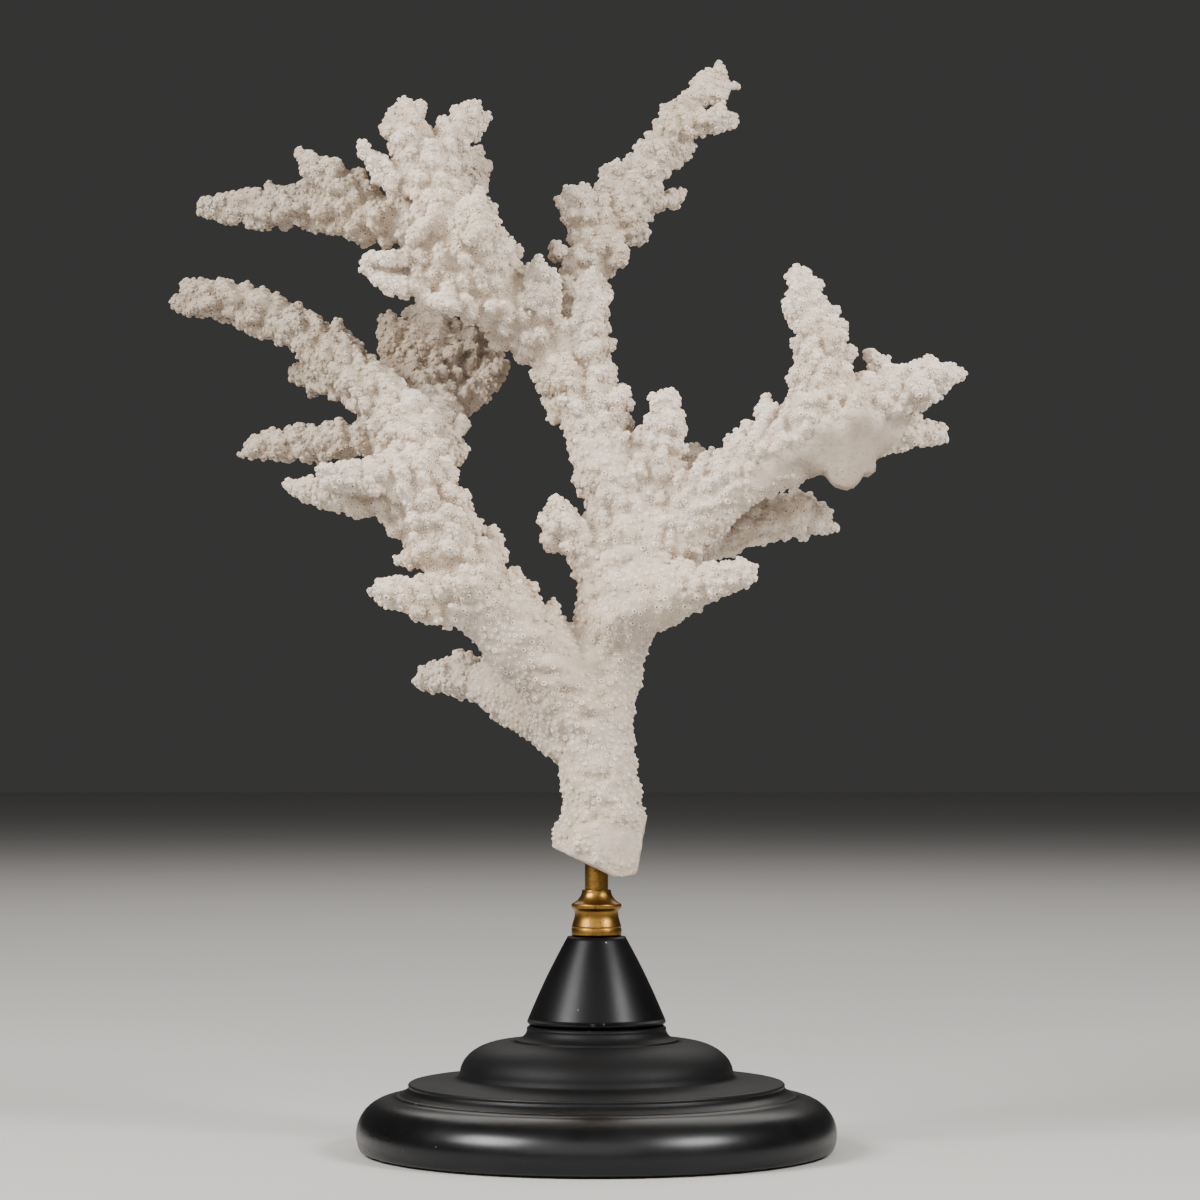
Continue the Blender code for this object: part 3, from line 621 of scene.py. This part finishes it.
def mesh_arrays(mesh):
    """Vertices, edges and corner triangles as arrays."""
    co = np.empty(len(mesh.vertices) * 3)
    mesh.vertices.foreach_get("co", co)
    edges = np.empty(len(mesh.edges) * 2, dtype=np.int64)
    mesh.edges.foreach_get("vertices", edges)
    mesh.calc_loop_triangles()
    tris = np.empty(len(mesh.loop_triangles) * 3, dtype=np.int64)
    mesh.loop_triangles.foreach_get("vertices", tris)
    return co.reshape(-1, 3), edges.reshape(-1, 2), tris.reshape(-1, 3)


def vertex_normals(co, tris):
    """Area-weighted vertex normals."""
    face = np.cross(co[tris[:, 1]] - co[tris[:, 0]], co[tris[:, 2]] - co[tris[:, 0]])
    total = np.zeros_like(co)
    for corner in range(3):
        for axis in range(3):
            total[:, axis] += np.bincount(tris[:, corner], weights=face[:, axis], minlength=len(co))
    return unit(total)


def neighbour_count(co, edges):
    """Number of neighbours of each vertex."""
    return np.bincount(edges.ravel(), minlength=len(co)).astype(float)


def edge_sum(to_first, to_second, edges, size):
    """Sum over the edges that meet at each vertex."""
    return (np.bincount(edges[:, 0], weights=to_first, minlength=size)
            + np.bincount(edges[:, 1], weights=to_second, minlength=size))


def blur(values, edges, count, rounds):
    """Repeated averaging with the neighbours."""
    a, b = edges[:, 0], edges[:, 1]
    for _ in range(rounds):
        flat = values.reshape(len(values), -1)
        total = np.stack([edge_sum(column[b], column[a], edges, len(values)) for column in flat.T], axis=1)
        values = 0.5 * values + 0.5 * (total / count[:, None]).reshape(values.shape)
    return values


def walk(co, edges, starts):
    """Distance along the skin from the nearest start vertex."""
    links = [[] for _ in range(len(co))]
    length = np.linalg.norm(co[edges[:, 0]] - co[edges[:, 1]], axis=1)
    for (a, b), step in zip(edges.tolist(), length.tolist()):
        links[a].append((b, step))
        links[b].append((a, step))
    dist = [math.inf] * len(co)
    heap = []
    for start in starts:
        dist[start] = 0.0
        heap.append((0.0, start))
    heapq.heapify(heap)
    while heap:
        here, vert = heapq.heappop(heap)
        if here > dist[vert]:
            continue
        for other, step in links[vert]:
            reach = here + step
            if reach < dist[other]:
                dist[other] = reach
                heapq.heappush(heap, (reach, other))
    return np.array(dist)


def skin_fields(co, edges, tris, count):
    """Broad normal, direction of growth and distance to the nearest tip at each vertex."""
    broad = unit(blur(vertex_normals(co, tris), edges, count, 4))
    foot = np.nonzero(co[:, 2] < FOOT_TOP)[0]
    rise = blur(walk(co, edges, foot.tolist()), edges, count, 2)
    a, b = edges[:, 0], edges[:, 1]
    span = co[b] - co[a]
    slope = ((rise[b] - rise[a]) / np.maximum((span ** 2).sum(1), 1e-12))[:, None] * span
    grow = np.stack([edge_sum(part, part, edges, len(co)) for part in slope.T], axis=1)
    for _ in range(8):
        grow -= (grow * broad).sum(1, keepdims=True) * broad
        grow = blur(unit(grow), edges, count, 1)
    grow = unit(grow - (grow * broad).sum(1, keepdims=True) * broad)
    top = rise.copy()
    for _ in range(5):
        high = top.copy()
        np.maximum.at(high, a, top[b])
        np.maximum.at(high, b, top[a])
        top = high
    tips = np.nonzero((rise >= top - 1e-9) & (rise > TIP_LOWEST))[0]
    return broad, grow, walk(co, edges, tips.tolist())


def under_limb(co):
    """1 on the front of the right limb, below its ridge of buds."""
    x, y, z = in_mm(co)
    edge = np.interp(x, LIMB_EDGE_X, LIMB_EDGE_Z)
    edge = edge + 1.6 * np.sin(x * 0.55) + 1.0 * np.sin(x * 1.3 + 1.0)
    span = smoothstep(*LIMB_START, x) * fade(*LIMB_END, x)
    return span * fade(*LIMB_FRONT, y) * fade(*LIMB_TOP, z - edge) * smoothstep(*LIMB_FOOT, z + 0.1 * x)


def bare_share(co, normal):
    """1 where the skin is smooth: under the right limb, and on two spots, the foot and the bore of the stem."""
    x, y, z = in_mm(co)
    lump = (x > BARE_LUMP_X[0]) & (x < BARE_LUMP_X[1]) & (z < BARE_LUMP_TOP)
    face = np.where(lump, 1.0, smoothstep(-0.80, -0.55, normal[:, 2]))
    limb = under_limb(co) * smoothstep(*BARE_START, x) * fade(0.35, 0.7, normal[:, 2]) * face
    hollow = spot(x, z, HOLLOW_SPOT, 2) * (y < 0)
    worn = spot(x, z, WORN_SPOT, 2) * (y < 0)
    bore = (np.hypot(x, y) < BORE_BARE[0]) & (z < BORE_BARE[1])
    foot = smoothstep(-1.4 * MM, -0.6 * MM, break_depth(co)[0])
    shares = [limb, 0.8 * hollow, 0.8 * worn, foot, bore.astype(float)]
    return np.clip(np.maximum.reduce(shares), 0.0, 1.0)


def stem_share(co, tip_distance):
    """0 on the branches, where buds stand out, and 1 on the thick stem."""
    x, _, z = in_mm(co)
    low = fade(*STEM_TOP, z + 0.35 * np.abs(x - 4.0))
    core = fade(*CORE_SIDE, np.abs(x - 2.0)) * fade(*CORE_TOP, z)
    far = smoothstep(0.6 * TIP_REACH, 1.3 * TIP_REACH, tip_distance)
    fork = fade(*FORK_TOP, z) * fade(*FORK_SIDE, np.abs(x))
    far = np.maximum(far, fork)
    return np.clip(np.maximum(far * np.maximum(low, core), 0.9 * under_limb(co)), 0.0, 1.0)


def lobe_share(co):
    """1 on the fingers below the right limb, which get no painted shade of the back although they stand far
    back.
    """
    x, _, z = in_mm(co)
    return smoothstep(*LOBE_START, x) * fade(*LOBE_TOP, z)


def age_and_shade_share(co, bare):
    """How grey-beige the skin is: painted shade on the parts at the back, the cluster, the far left and the
    smooth zone, and some grey-brown spots on the stem.
    """
    x, y, z = in_mm(co)
    cluster = fade(-34.0, -14.0, x) * smoothstep(185.0, 200.0, z)
    # Painted shade, darker towards the back, in the cluster behind the crown and at the far left
    back = BACK_PAINTED_SHADE * smoothstep(-19.0, 5.0, y) * (1.0 - lobe_share(co))
    back += CLUSTER_PAINTED_SHADE * cluster * smoothstep(2.0, 18.0, y)
    back += LEFT_PAINTED_SHADE * fade(-76.0, -46.0, x)
    # Painted shade on the smooth zone under the right limb, which faces down
    limb = bare * smoothstep(*LIMB_TONE_START, x)
    spots = [tone * spot(x, z, place) * (y < 0) for place, tone in SPOT_TONES]
    return np.clip(np.maximum.reduce([back, limb, *spots]), 0.0, 1.0)


def swells(co, size, seed):
    """Smooth noise of about this size over the points, from -1 to 1."""
    shift = Vector((seed * 3.7, seed * 1.9, seed * 5.3))
    return np.array([noise.noise(Vector(p) / size + shift) for p in co.tolist()])


def relief(co, stem, bare, thickness, clearance):
    """Waves of the stem and broad lumps of the thick limbs."""
    broad, short, ridge, lump = (swells(co, *wave[1:])
                                 for wave in (BROAD_WAVE, SHORT_WAVE, RIDGE_WAVE, LUMP_WAVE))
    waves = BROAD_WAVE[0] * broad + SHORT_WAVE[0] * short
    waves += RIDGE_WAVE[0] * (0.45 - 2.0 * np.abs(ridge))
    lumps = LUMP_WAVE[0] * lump * smoothstep(*LUMP_THICKNESS, thickness) * (1.0 - stem)
    lumps *= smoothstep(*LUMP_CLEARANCE, clearance)
    return (waves * (0.3 + 0.9 * stem) + lumps) * (1.0 - 0.92 * bare)


def bud_inset(stem, wide_bare, thickness, clearance):
    """How deep the skin between the buds lies below the outline of the limbs."""
    inset = BUD_INSET + (MOUND_INSET - BUD_INSET) * stem
    budded = smoothstep(*BUDDED_THICKNESS, thickness) * smoothstep(*BUDDED_CLEARANCE, clearance)
    inset = np.minimum(inset, THICKNESS_SHARE * thickness) * budded + THIN_INSET * (1.0 - budded)
    return inset * fade(0.35, 1.0, wide_bare)


def long_buds(co, tris):
    """Heads of the long side buds, laid on the skin where the camera sees them."""
    tree = BVHTree.FromPolygons([tuple(p) for p in co.tolist()], tris.tolist())
    heads = []
    for foot, tip, half in LONG_BUDS:
        ends = []
        for x, z in (foot, tip):
            hit = tree.ray_cast(Vector((x * MM, RAY_FRONT, z * MM)), Vector((0.0, 1.0, 0.0)))
            ends.append(None if hit[0] is None else np.array(hit[0]))
        if ends[0] is None:
            continue
        if ends[1] is None:
            ends[1] = np.array((tip[0] * MM, ends[0][1], tip[1] * MM))
        start = ends[0] + (0.0, 0.35 * half * MM, 0.0)
        end = ends[1] - (0.0, 0.25 * half * MM, 0.0)
        end[1] = min(end[1], start[1] + LONG_BUD_RISE)
        span = end - start
        length = np.linalg.norm(span)
        heads.append((0.5 * (start + end), span / length, half * MM, 0.5 * length + 0.6 * half * MM))
    return [np.array(column) for column in zip(*heads)]


def place_buds(co, tris, normal, grow, inset, bare, clearance, tip_distance, rng):
    """Heads of the side buds over the limbs: centre, axis, width and length of each."""
    room = BUD_SPACING * (0.60 + 0.40 * smoothstep(0.45, 1.0, inset / BUD_INSET))
    at = scatter(co, tris, room, BUD_TRIES, rng)
    place, side, lean, depth = at(co), unit(at(normal)), unit(at(grow)), at(inset)
    open_side = (at(clearance) > BUD_CLEARANCE) & ((at(tip_distance) > 2.5 * MM) | (depth > 1.2 * MM))
    chance = rng.random((len(place), 4))
    tilt = np.radians(BUD_LEAN + 18.0 * (chance[:, 0] - 0.5))
    axis = unit(side * np.cos(tilt)[:, None] + lean * np.sin(tilt)[:, None])
    small = 0.62 + 0.38 * smoothstep(0.45, 1.0, depth / BUD_INSET)
    width = BUD_RADIUS * (BUD_SMALLEST + BUD_VARIETY * chance[:, 1]) * small
    length = BUD_LENGTH * (BUD_SMALLEST + BUD_VARIETY * chance[:, 2]) * small
    top = np.hypot(length * np.cos(tilt), width * np.sin(tilt))
    rise = depth + (0.9 * chance[:, 3] - 0.2) * small * MM - top
    keep = (at(bare) < 0.3) & (depth > 0.7 * MM) & open_side
    centre = place - side * depth[:, None] + axis * (rise / np.cos(tilt))[:, None]
    return centre[keep], axis[keep], width[keep], length[keep]


def bud_heads(centre, axis, width, length):
    """Egg-shaped heads as one array of points and one of triangles."""
    bm = bmesh.new()
    bmesh.ops.create_icosphere(bm, subdivisions=2, radius=1.0)
    ball = np.array([tuple(v.co) for v in bm.verts])
    sides = np.array([[v.index for v in face.verts] for face in bm.faces])
    bm.free()
    across = unit(np.cross(axis, (0.31, 0.52, 0.79)))
    other = np.cross(axis, across)
    points = (centre[:, None] + ball[None, :, :1] * (across * width[:, None])[:, None]
              + ball[None, :, 1:2] * (other * width[:, None])[:, None]
              + ball[None, :, 2:] * (axis * length[:, None])[:, None])
    faces = sides[None] + (np.arange(len(centre)) * len(ball))[:, None, None]
    return points.reshape(-1, 3), faces.reshape(-1, 3)


def nearest(points, targets):
    """Index of the target nearest to each point."""
    tree = KDTree(len(targets))
    for index, target in enumerate(targets):
        tree.insert(target, index)
    tree.balance()
    return np.array([tree.find(point)[1] for point in points.tolist()])


def scatter(co, tris, spacing, tries, rng):
    """Random points on the skin that keep their spacing, as a function that reads a field at them."""
    a, b, c = co[tris[:, 0]], co[tris[:, 1]], co[tris[:, 2]]
    area = np.linalg.norm(np.cross(b - a, c - a), axis=1)
    pick = rng.choice(len(tris), size=tries, p=area / area.sum())
    u, v = rng.random(tries), rng.random(tries)
    flip = u + v > 1.0
    u[flip], v[flip] = 1.0 - u[flip], 1.0 - v[flip]
    weights = np.stack([1.0 - u - v, u, v], axis=1)
    points = np.einsum("nk,nkd->nd", weights, co[tris[pick]])
    room = np.einsum("nk,nk->n", weights, spacing[tris[pick]])
    keys = np.floor(points / float(spacing.max())).astype(int).tolist()
    around = [(i, j, k) for i in (-1, 0, 1) for j in (-1, 0, 1) for k in (-1, 0, 1)]
    place = points.tolist()
    gap = (room ** 2).tolist()
    grid = {}
    kept = []
    for n, (i, j, k) in enumerate(keys):
        x, y, z = place[n]
        free = True
        for di, dj, dk in around:
            for m in grid.get((i + di, j + dj, k + dk), ()):
                mx, my, mz = place[m]
                if (mx - x) ** 2 + (my - y) ** 2 + (mz - z) ** 2 < gap[n]:
                    free = False
                    break
            if not free:
                break
        if free:
            grid.setdefault((i, j, k), []).append(n)
            kept.append(n)
    kept = np.array(kept)
    corner, share = tris[pick[kept]], weights[kept]
    return lambda values: np.einsum("nk,nk...->n...", share, values[corner])


def cups(name, rows, rings, sides, rng, material):
    """Joined mesh of cups: rings of points round each axis, with a pore in the middle."""
    place, axis, lean, radius, height, buried, tint, pore, age_and_shade = rows
    number = len(place)
    side = unit(np.cross(axis, lean))
    lean = np.cross(side, axis)
    turn = rng.random(number) * math.tau
    oval = 1.0 + 0.16 * (rng.random(number) - 0.5)
    slant = 0.05 + 0.20 * rng.random(number)
    verts = []
    shades = []
    for share, level, shade in rings:
        for s in range(sides):
            angle = turn + math.tau * s / sides
            across, along = np.cos(angle), np.sin(angle)
            wobble = 1.0 + 0.10 * (rng.random(number) - 0.5)
            reach = radius * share * wobble
            if level < 0.0:
                rise = level * buried
            else:
                rise = height * (level - slant * level * along)
            verts.append(place + side * (reach * oval * across)[:, None]
                         + lean * (reach / oval * along)[:, None] + axis * rise[:, None])
            dark = shade * pore if shade > PORE_SHADE else np.full(number, shade)
            shades.append(np.clip(dark + tint, 0.0, 1.0))
    per_cup = sides * len(rings)
    low = [(ring * sides + s, ring * sides + (s + 1) % sides)
           for ring in range(len(rings) - 1) for s in range(sides)]
    quads = np.array([(here, then, then + sides, here + sides) for here, then in low])
    floor = np.arange(per_cup - sides, per_cup)
    starts = np.arange(number)[:, None, None] * per_cup
    faces = (quads[None] + starts).reshape(-1, 4)
    floors = (floor[None, None] + starts).reshape(-1, sides)
    sizes = np.concatenate([np.full(len(faces), 4), np.full(len(floors), sides)])
    mesh = mesh_of(name, np.stack(verts, axis=1).reshape(-1, 3),
                   np.concatenate([faces.ravel(), floors.ravel()]),
                   np.concatenate([[0], np.cumsum(sizes)[:-1]]))
    mesh.shade_smooth()
    mark(mesh, "depth", np.stack(shades, axis=1).ravel())
    mark(mesh, "tone", np.repeat(age_and_shade, per_cup))
    mesh.materials.append(material)
    return add_object(name, mesh)


def nearest_node(points):
    """Name of the coral solid nearest to each point."""
    names = []
    corners = []
    for name in CORAL_NODES:
        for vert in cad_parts[name].data.vertices:
            corners.append(vert.co)
            names.append(name)
    return np.array(names)[nearest(points, corners)]


def break_foot(co, rng):
    """Skin cut off along the broken faces of the foot, with a rough face left there."""
    co = co.copy()
    grit = FOOT_GRIT * rng.random(len(co))
    on_break = np.zeros(len(co), dtype=bool)
    for _ in range(4):
        depth, outward = break_depth(co)
        out = depth > 0.0
        on_break |= out
        co[out] -= outward[out] * (depth[out] + 1e-7)[:, None]
    outward = break_depth(co)[1]
    co[on_break] -= outward[on_break] * grit[on_break][:, None]
    return co, on_break


def build_cups(co, tris, fine, grow, bare, stem, thin, narrow, hollow, age_and_shade, rng, material):
    """Corallites: raised knobs on the branches, low rings on the stem and faint pores where it is smooth."""
    spacing = SPACING_KNOB + (SPACING_STEM - SPACING_KNOB) * stem + SPACING_THIN * thin
    spacing = spacing + (SPACING_BARE - spacing) * bare
    at = scatter(co, tris, spacing, CANDIDATES, rng)
    place = at(co)
    up = unit(at(fine))
    lean = unit(at(grow))
    smooth = at(bare)
    valley = at(hollow)
    number = len(place)
    jitter = rng.random((number, 4))
    knob = (at(stem) < 0.5) & (smooth < 0.5)
    faint = smooth >= 0.5
    tilt = np.radians(np.where(knob, KNOB_LEAN, RING_LEAN) + 14.0 * (jitter[:, 0] - 0.5))
    axis = unit(up * np.cos(tilt)[:, None] + lean * np.sin(tilt)[:, None])
    broadness = (KNOB_RADIUS - 0.06 * valley + 0.12 * at(thin)) * (0.78 + 0.44 * jitter[:, 1])
    radius = np.where(knob, broadness, RING_RADIUS[0] + RING_RADIUS[1] * jitter[:, 1]) * MM
    radius = radius * (1.0 - 0.35 * smooth)
    tallness = (KNOB_HEIGHT - 0.22 * valley) * (0.60 + 0.70 * jitter[:, 2])
    height = np.where(knob, tallness, RING_HEIGHT[0] + RING_HEIGHT[1] * jitter[:, 2]) * MM
    height = height * (1.0 - 0.75 * smooth) * (1.0 - 0.6 * at(narrow))
    buried = np.where(knob, KNOB_BURIED, RING_BURIED) * MM
    # Painted shade in the valleys between the buds, with a little random tone
    tint = 0.30 * valley + 0.12 * (jitter[:, 3] - 0.5)
    # How dark the painted shade in each pore is
    pore = np.where(knob, 0.35, 0.70) + np.where(knob, 0.65, 0.30) * rng.random(number)
    rows = (place, axis, lean, radius, height, buried, tint, pore, at(age_and_shade))
    in_bore = (np.hypot(place[:, 0], place[:, 1]) < BORE_EMPTY[0]) & (place[:, 2] < BORE_EMPTY[1])
    foot = (break_depth(place)[0] > -0.5 * MM) | in_bore
    keep = ~(foot | (faint & (rng.random(number) < FAINT_LEFT_OUT)))
    owner = nearest_node(place)
    kinds = {"knobs": (knob, KNOB, 5), "rings": (~knob & ~faint, RING, 6), "pores": (faint, FAINT, 6)}
    pieces = []
    for name, (nodes, bottom, top) in CUP_GROUPS.items():
        mine = keep & np.isin(owner, nodes) & (place[:, 2] >= bottom) & (place[:, 2] < top)
        for kind, (of_kind, rings, sides) in kinds.items():
            chosen = [values[mine & of_kind] for values in rows]
            if len(chosen[0]):
                pieces.append(cups(f"{name}_{kind}", chosen, rings, sides, rng, material))
    return pieces


def build_coral():
    """Skin and corallites."""
    rng = np.random.default_rng(SEED)
    material = coral_material()
    co, edges, tris = mesh_arrays(grow_guide())
    count = neighbour_count(co, edges)
    broad, grow, tip_distance = skin_fields(co, edges, tris, count)
    bare = blur(bare_share(co, broad), edges, count, 2)
    stem = blur(stem_share(co, tip_distance), edges, count, 4)
    wide_bare = blur(bare, edges, count, WIDE_ROUNDS)
    thickness, clearance = wall_distances(co, tris, broad)
    thickness = blur(thickness, edges, count, 3)
    inset = blur(bud_inset(stem, wide_bare, thickness, clearance), edges, count, 3)
    core = co - broad * inset[:, None]
    core += broad * relief(co, stem, bare, thickness, clearance)[:, None]
    outer = core + broad * inset[:, None]
    buds = place_buds(outer, tris, broad, grow, inset, bare, clearance, tip_distance, rng)
    buds = [np.concatenate(pair) for pair in zip(buds, long_buds(outer, tris))]
    heads, sides = bud_heads(*buds)
    faces = np.concatenate([tris, sides + len(core)])
    clump = mesh_of("clump", np.concatenate([core, heads]), faces.ravel(), 3 * np.arange(len(faces)))
    skin = remeshed(clump, SKIN_VOXEL, 1, SKIN_TRIANGLES)
    keep_outer_skin(skin)

    co, edges, tris = mesh_arrays(skin)
    co, on_break = break_foot(co, rng)
    near = nearest(co, core.tolist())
    rise = ((co - core[near]) * broad[near]).sum(1)
    bare, stem, grow, inset = bare[near], stem[near], grow[near], inset[near]
    crest = np.clip(rise / np.maximum(inset, 0.6 * MM), 0.0, 1.0)
    count = neighbour_count(co, edges)
    fine = unit(blur(vertex_normals(co, tris), edges, count, 2))
    budded = smoothstep(0.35, 0.8, inset / BUD_INSET)
    budded = budded * fade(0.02, 0.3, wide_bare[near])
    hollow = blur((1.0 - crest) * budded * fade(0.3, 0.8, stem), edges, count, 2)
    thin = fade(0.45, 0.9, inset / BUD_INSET) * (1.0 - stem) * (1.0 - bare)
    narrow = fade(0.8 * MM, 3.0 * MM, clearance[near])
    age_and_shade = age_and_shade_share(co, bare)
    pieces = build_cups(co, tris, fine, grow, bare, stem, thin, narrow, hollow, age_and_shade, rng, material)

    skin.vertices.foreach_set("co", co.ravel())
    skin.update()
    skin.shade_smooth()
    for poly, is_flat in zip(skin.polygons, on_break[tris].all(axis=1).tolist()):
        poly.use_smooth = not is_flat
    # Painted shade in the hollows between the buds, weaker at the back and on the fingers below the right limb
    stain_and_shade = hollow * (1.0 - 0.7 * age_and_shade) * (1.0 - 0.6 * lobe_share(co))
    shade = (SKIN_SHADE + HOLLOW_SHADE * stain_and_shade + STEM_SHADE * stem * (1.0 - bare)
             + BARE_SHADE * bare + BREAK_SHADE * on_break)
    mark(skin, "depth", np.clip(shade, 0.0, 1.0))
    mark(skin, "tone", age_and_shade)
    skin.materials.clear()
    skin.materials.append(material)
    skin.name = "coral_skin"
    obj = add_object("coral_skin", skin)
    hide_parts(*CORAL_NODES)
    for piece in [obj] + pieces:
        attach(piece, "root")


def arc(centre_r, centre_z, size_r, size_z, start, end, count):
    """Points on an elliptic arc of a profile, angles in degrees from +X toward +Z."""
    points = []
    for i in range(count + 1):
        angle = math.radians(start + (end - start) * i / count)
        points.append((centre_r + size_r * math.cos(angle), centre_z + size_z * math.sin(angle)))
    return points


def curve_through(points):
    """Round off a list of profile points by cutting their corners twice, keeping both ends."""
    for _ in range(2):
        smooth = [points[0]]
        for (r0, z0), (r1, z1) in zip(points, points[1:]):
            smooth.append((0.75 * r0 + 0.25 * r1, 0.75 * z0 + 0.25 * z1))
            smooth.append((0.25 * r0 + 0.75 * r1, 0.25 * z0 + 0.75 * z1))
        smooth.append(points[-1])
        points = smooth
    return points


def turned(name, profile, steps, material, node, worn_edges=()):
    """Turn a profile of radius and height in mm about the stand's axis; ends on the axis are closed."""
    verts = []
    rows = []
    wear = []
    for r, z in profile:
        gap = min((math.hypot(r - edge_r, z - edge_z) for edge_r, edge_z in worn_edges), default=math.inf)
        around = 1 if r == 0 else steps
        row = list(range(len(verts), len(verts) + around))
        rows.append(row * (steps // around))
        wear += [math.exp(-(gap / WEAR_REACH) ** 2)] * around
        for s in range(around):
            angle = math.tau * s / steps
            verts.append((r * MM * math.cos(angle), r * MM * math.sin(angle), z * MM))
    faces = []
    for low, high in zip(rows, rows[1:]):
        for s in range(steps):
            t = (s + 1) % steps
            ring = [low[s], high[s], high[t], low[t]]
            face = [v for i, v in enumerate(ring) if v != ring[i - 1]]
            if len(face) > 2:
                faces.append(face)
    mesh = bpy.data.meshes.new(name)
    mesh.from_pydata(verts, [], faces)
    mesh.update()
    mesh.shade_smooth()
    mesh.materials.append(material)
    mark(mesh, "wear", wear)
    obj = add_object(name, mesh)
    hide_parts(node)
    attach(obj, "root")


def base_profile():
    """Outline of the foot from the middle of its top down the outer side to its underside."""
    lip = [(0, 34.4), (17.6, 34.4)] + arc(17.9, 33.5, 1.15, 0.9, 80, -20, 6)
    cove = curve_through([(19.0, 33.1), (19.3, 32.2), (20.2, 31.2), (21.3, 30.75)])
    high_ring = arc(21.9, 30.35, 0.42, 0.36, 120, -30, 5)
    dome = arc(24.6, 21.3, 12.7, 8.75, 92, 4, 26)
    shelf = curve_through([(37.35, 21.6), (37.8, 20.4), (39.3, 19.75), (42.5, 19.3), (50.2, 18.85)])
    shelf_ring = arc(50.75, 18.25, 0.62, 0.6, 95, -35, 6)
    step = curve_through([(51.3, 17.7), (51.9, 16.8), (53.6, 15.75)])
    low_ring = arc(54.2, 15.15, 0.7, 0.55, 110, 20, 5)
    side = arc(55.4, 5.2, 10.1, 9.75, 84, -26, 44)
    under = [(62.6, 0.25), (61.5, 0.0), (0, 0)]
    return lip + cove + high_ring + dome + shelf + shelf_ring + step + low_ring + side + under


def cone_profile():
    """Outline of the cone, closed round its hole for the rod."""
    (top_r, top_z), (foot_r, foot_z) = CONE_WALL_TOP, CONE_WALL_FOOT
    wall = []
    for i in range(CONE_STEPS + 1):
        t = i / CONE_STEPS
        bulge = CONE_BULGE * math.sin(math.pi * t)
        wall.append((top_r + (foot_r - top_r) * t + bulge * 0.9, top_z + (foot_z - top_z) * t + bulge * 0.4))
    hole = [(0, ROD_LOW), (BORE_RADIUS, ROD_LOW), (BORE_RADIUS, top_z), (7.4, 58.62)]
    foot = arc(18.2, 35.6, 0.72, 0.85, 10, -80, 5)
    return hole + wall + foot + [(0, 34.75)]


def collar_profile():
    """Outline of the ferrule from its top down the outer side, closed round the rod."""
    lip = [(COLLAR_BORE, 71.2), (COLLAR_BORE, 71.3), (3.8, 71.3), (3.93, 71.2), (3.97, 71.0)]
    flare = curve_through([(3.98, 70.8), (4.12, 70.1), (4.62, 69.15), (5.5, 68.2), (6.6, 67.58)])
    rim = [(6.76, 67.46), (6.85, 67.2), (6.86, 66.85), (6.8, 66.5)]
    waist = curve_through([(6.72, 66.32), (6.45, 66.02), (6.06, 65.62), (5.98, 65.0), (6.0, 64.2),
                           (6.12, 63.5), (6.42, 62.6), (6.7, 61.6)])
    band = [(6.77, 61.2), (6.74, 61.08), (6.67, 61.02), (6.74, 60.95), (6.82, 60.8), (6.85, 59.3),
            (6.78, 59.0)]
    under = [(6.6, COLLAR_LOW), (COLLAR_BORE, COLLAR_LOW), (COLLAR_BORE, 71.2)]
    return lip + flare + rim + waist + band + under


def rod_profile():
    """Plain rod with broken edges."""
    upper = [(0, ROD_HIGH), (3.0, ROD_HIGH), (ROD_RADIUS, ROD_HIGH - 0.2)]
    return upper + [(ROD_RADIUS, ROD_LOW + 0.2), (3.0, ROD_LOW), (0, ROD_LOW)]


def build_stand():
    """Foot, cone, ferrule and rod."""
    foot = lacquer_material("base_lacquer", 0.29, 0.38, 0.60, True)
    cone = lacquer_material("cone_lacquer", 0.36, 0.17, 0.58, False)
    brass = brass_material("aged_brass")
    turned("stand_base_dressed", base_profile(), 180, foot, "stand_base", BASE_WORN)
    turned("stand_cone_dressed", cone_profile(), 144, cone, "stand_cone", CONE_WORN)
    turned("brass_collar_dressed", collar_profile(), 120, brass, "brass_collar")
    turned("brass_rod_dressed", rod_profile(), 72, brass, "brass_rod")


def build_floor():
    """Plain pale floor."""
    corners = [(-FLOOR_HALF, -FLOOR_HALF, 0), (FLOOR_HALF, -FLOOR_HALF, 0),
               (FLOOR_HALF, FLOOR_HALF, 0), (-FLOOR_HALF, FLOOR_HALF, 0)]
    mesh = bpy.data.meshes.new("floor")
    mesh.from_pydata(corners, [], [(0, 1, 2, 3)])
    mesh.update()
    mat, shader, add, join = node_material("floor_pale")
    where = add("ShaderNodeTexCoord").outputs["Object"]
    cloud = noise_value(add, where, 6.0, 3.0)
    join(ramp(add, cloud, [(0.3, (0.50, 0.50, 0.50)), (0.7, (0.52, 0.52, 0.52))]), "Base Color")
    shader.inputs["Roughness"].default_value = 0.8
    mesh.materials.append(mat)
    add_object("floor", mesh)


def build_studio():
    """Floor, softboxes, dim room and the camera."""
    build_floor()
    for name, (place, aim, size, power) in SOFTBOXES.items():
        light = bpy.data.lights.new(name, "AREA")
        light.shape = "RECTANGLE"
        light.size, light.size_y = size
        light.energy = power
        light.color = LIGHT_COLOUR
        lamp = add_object(name, light)
        lamp.location = place
        lamp.rotation_euler = (Vector(aim) - Vector(place)).to_track_quat("-Z", "Y").to_euler()
    world = bpy.data.worlds.new("studio")
    world.use_nodes = True
    back = world.node_tree.nodes["Background"]
    back.inputs["Color"].default_value = ROOM_COLOUR
    back.inputs["Strength"].default_value = ROOM_STRENGTH
    bpy.context.scene.world = world
    data = bpy.data.cameras.new("camera")
    data.sensor_width = CAMERA_SENSOR
    data.lens = CAMERA_LENS
    data.clip_start, data.clip_end = CAMERA_RANGE
    camera = add_object("camera", data)
    camera.location = CAMERA_PLACE
    camera.rotation_euler = (math.radians(90.0 + CAMERA_TILT), 0.0, math.radians(-CAMERA_TURN))
    bpy.context.scene.camera = camera


build_studio()
build_stand()
build_coral()
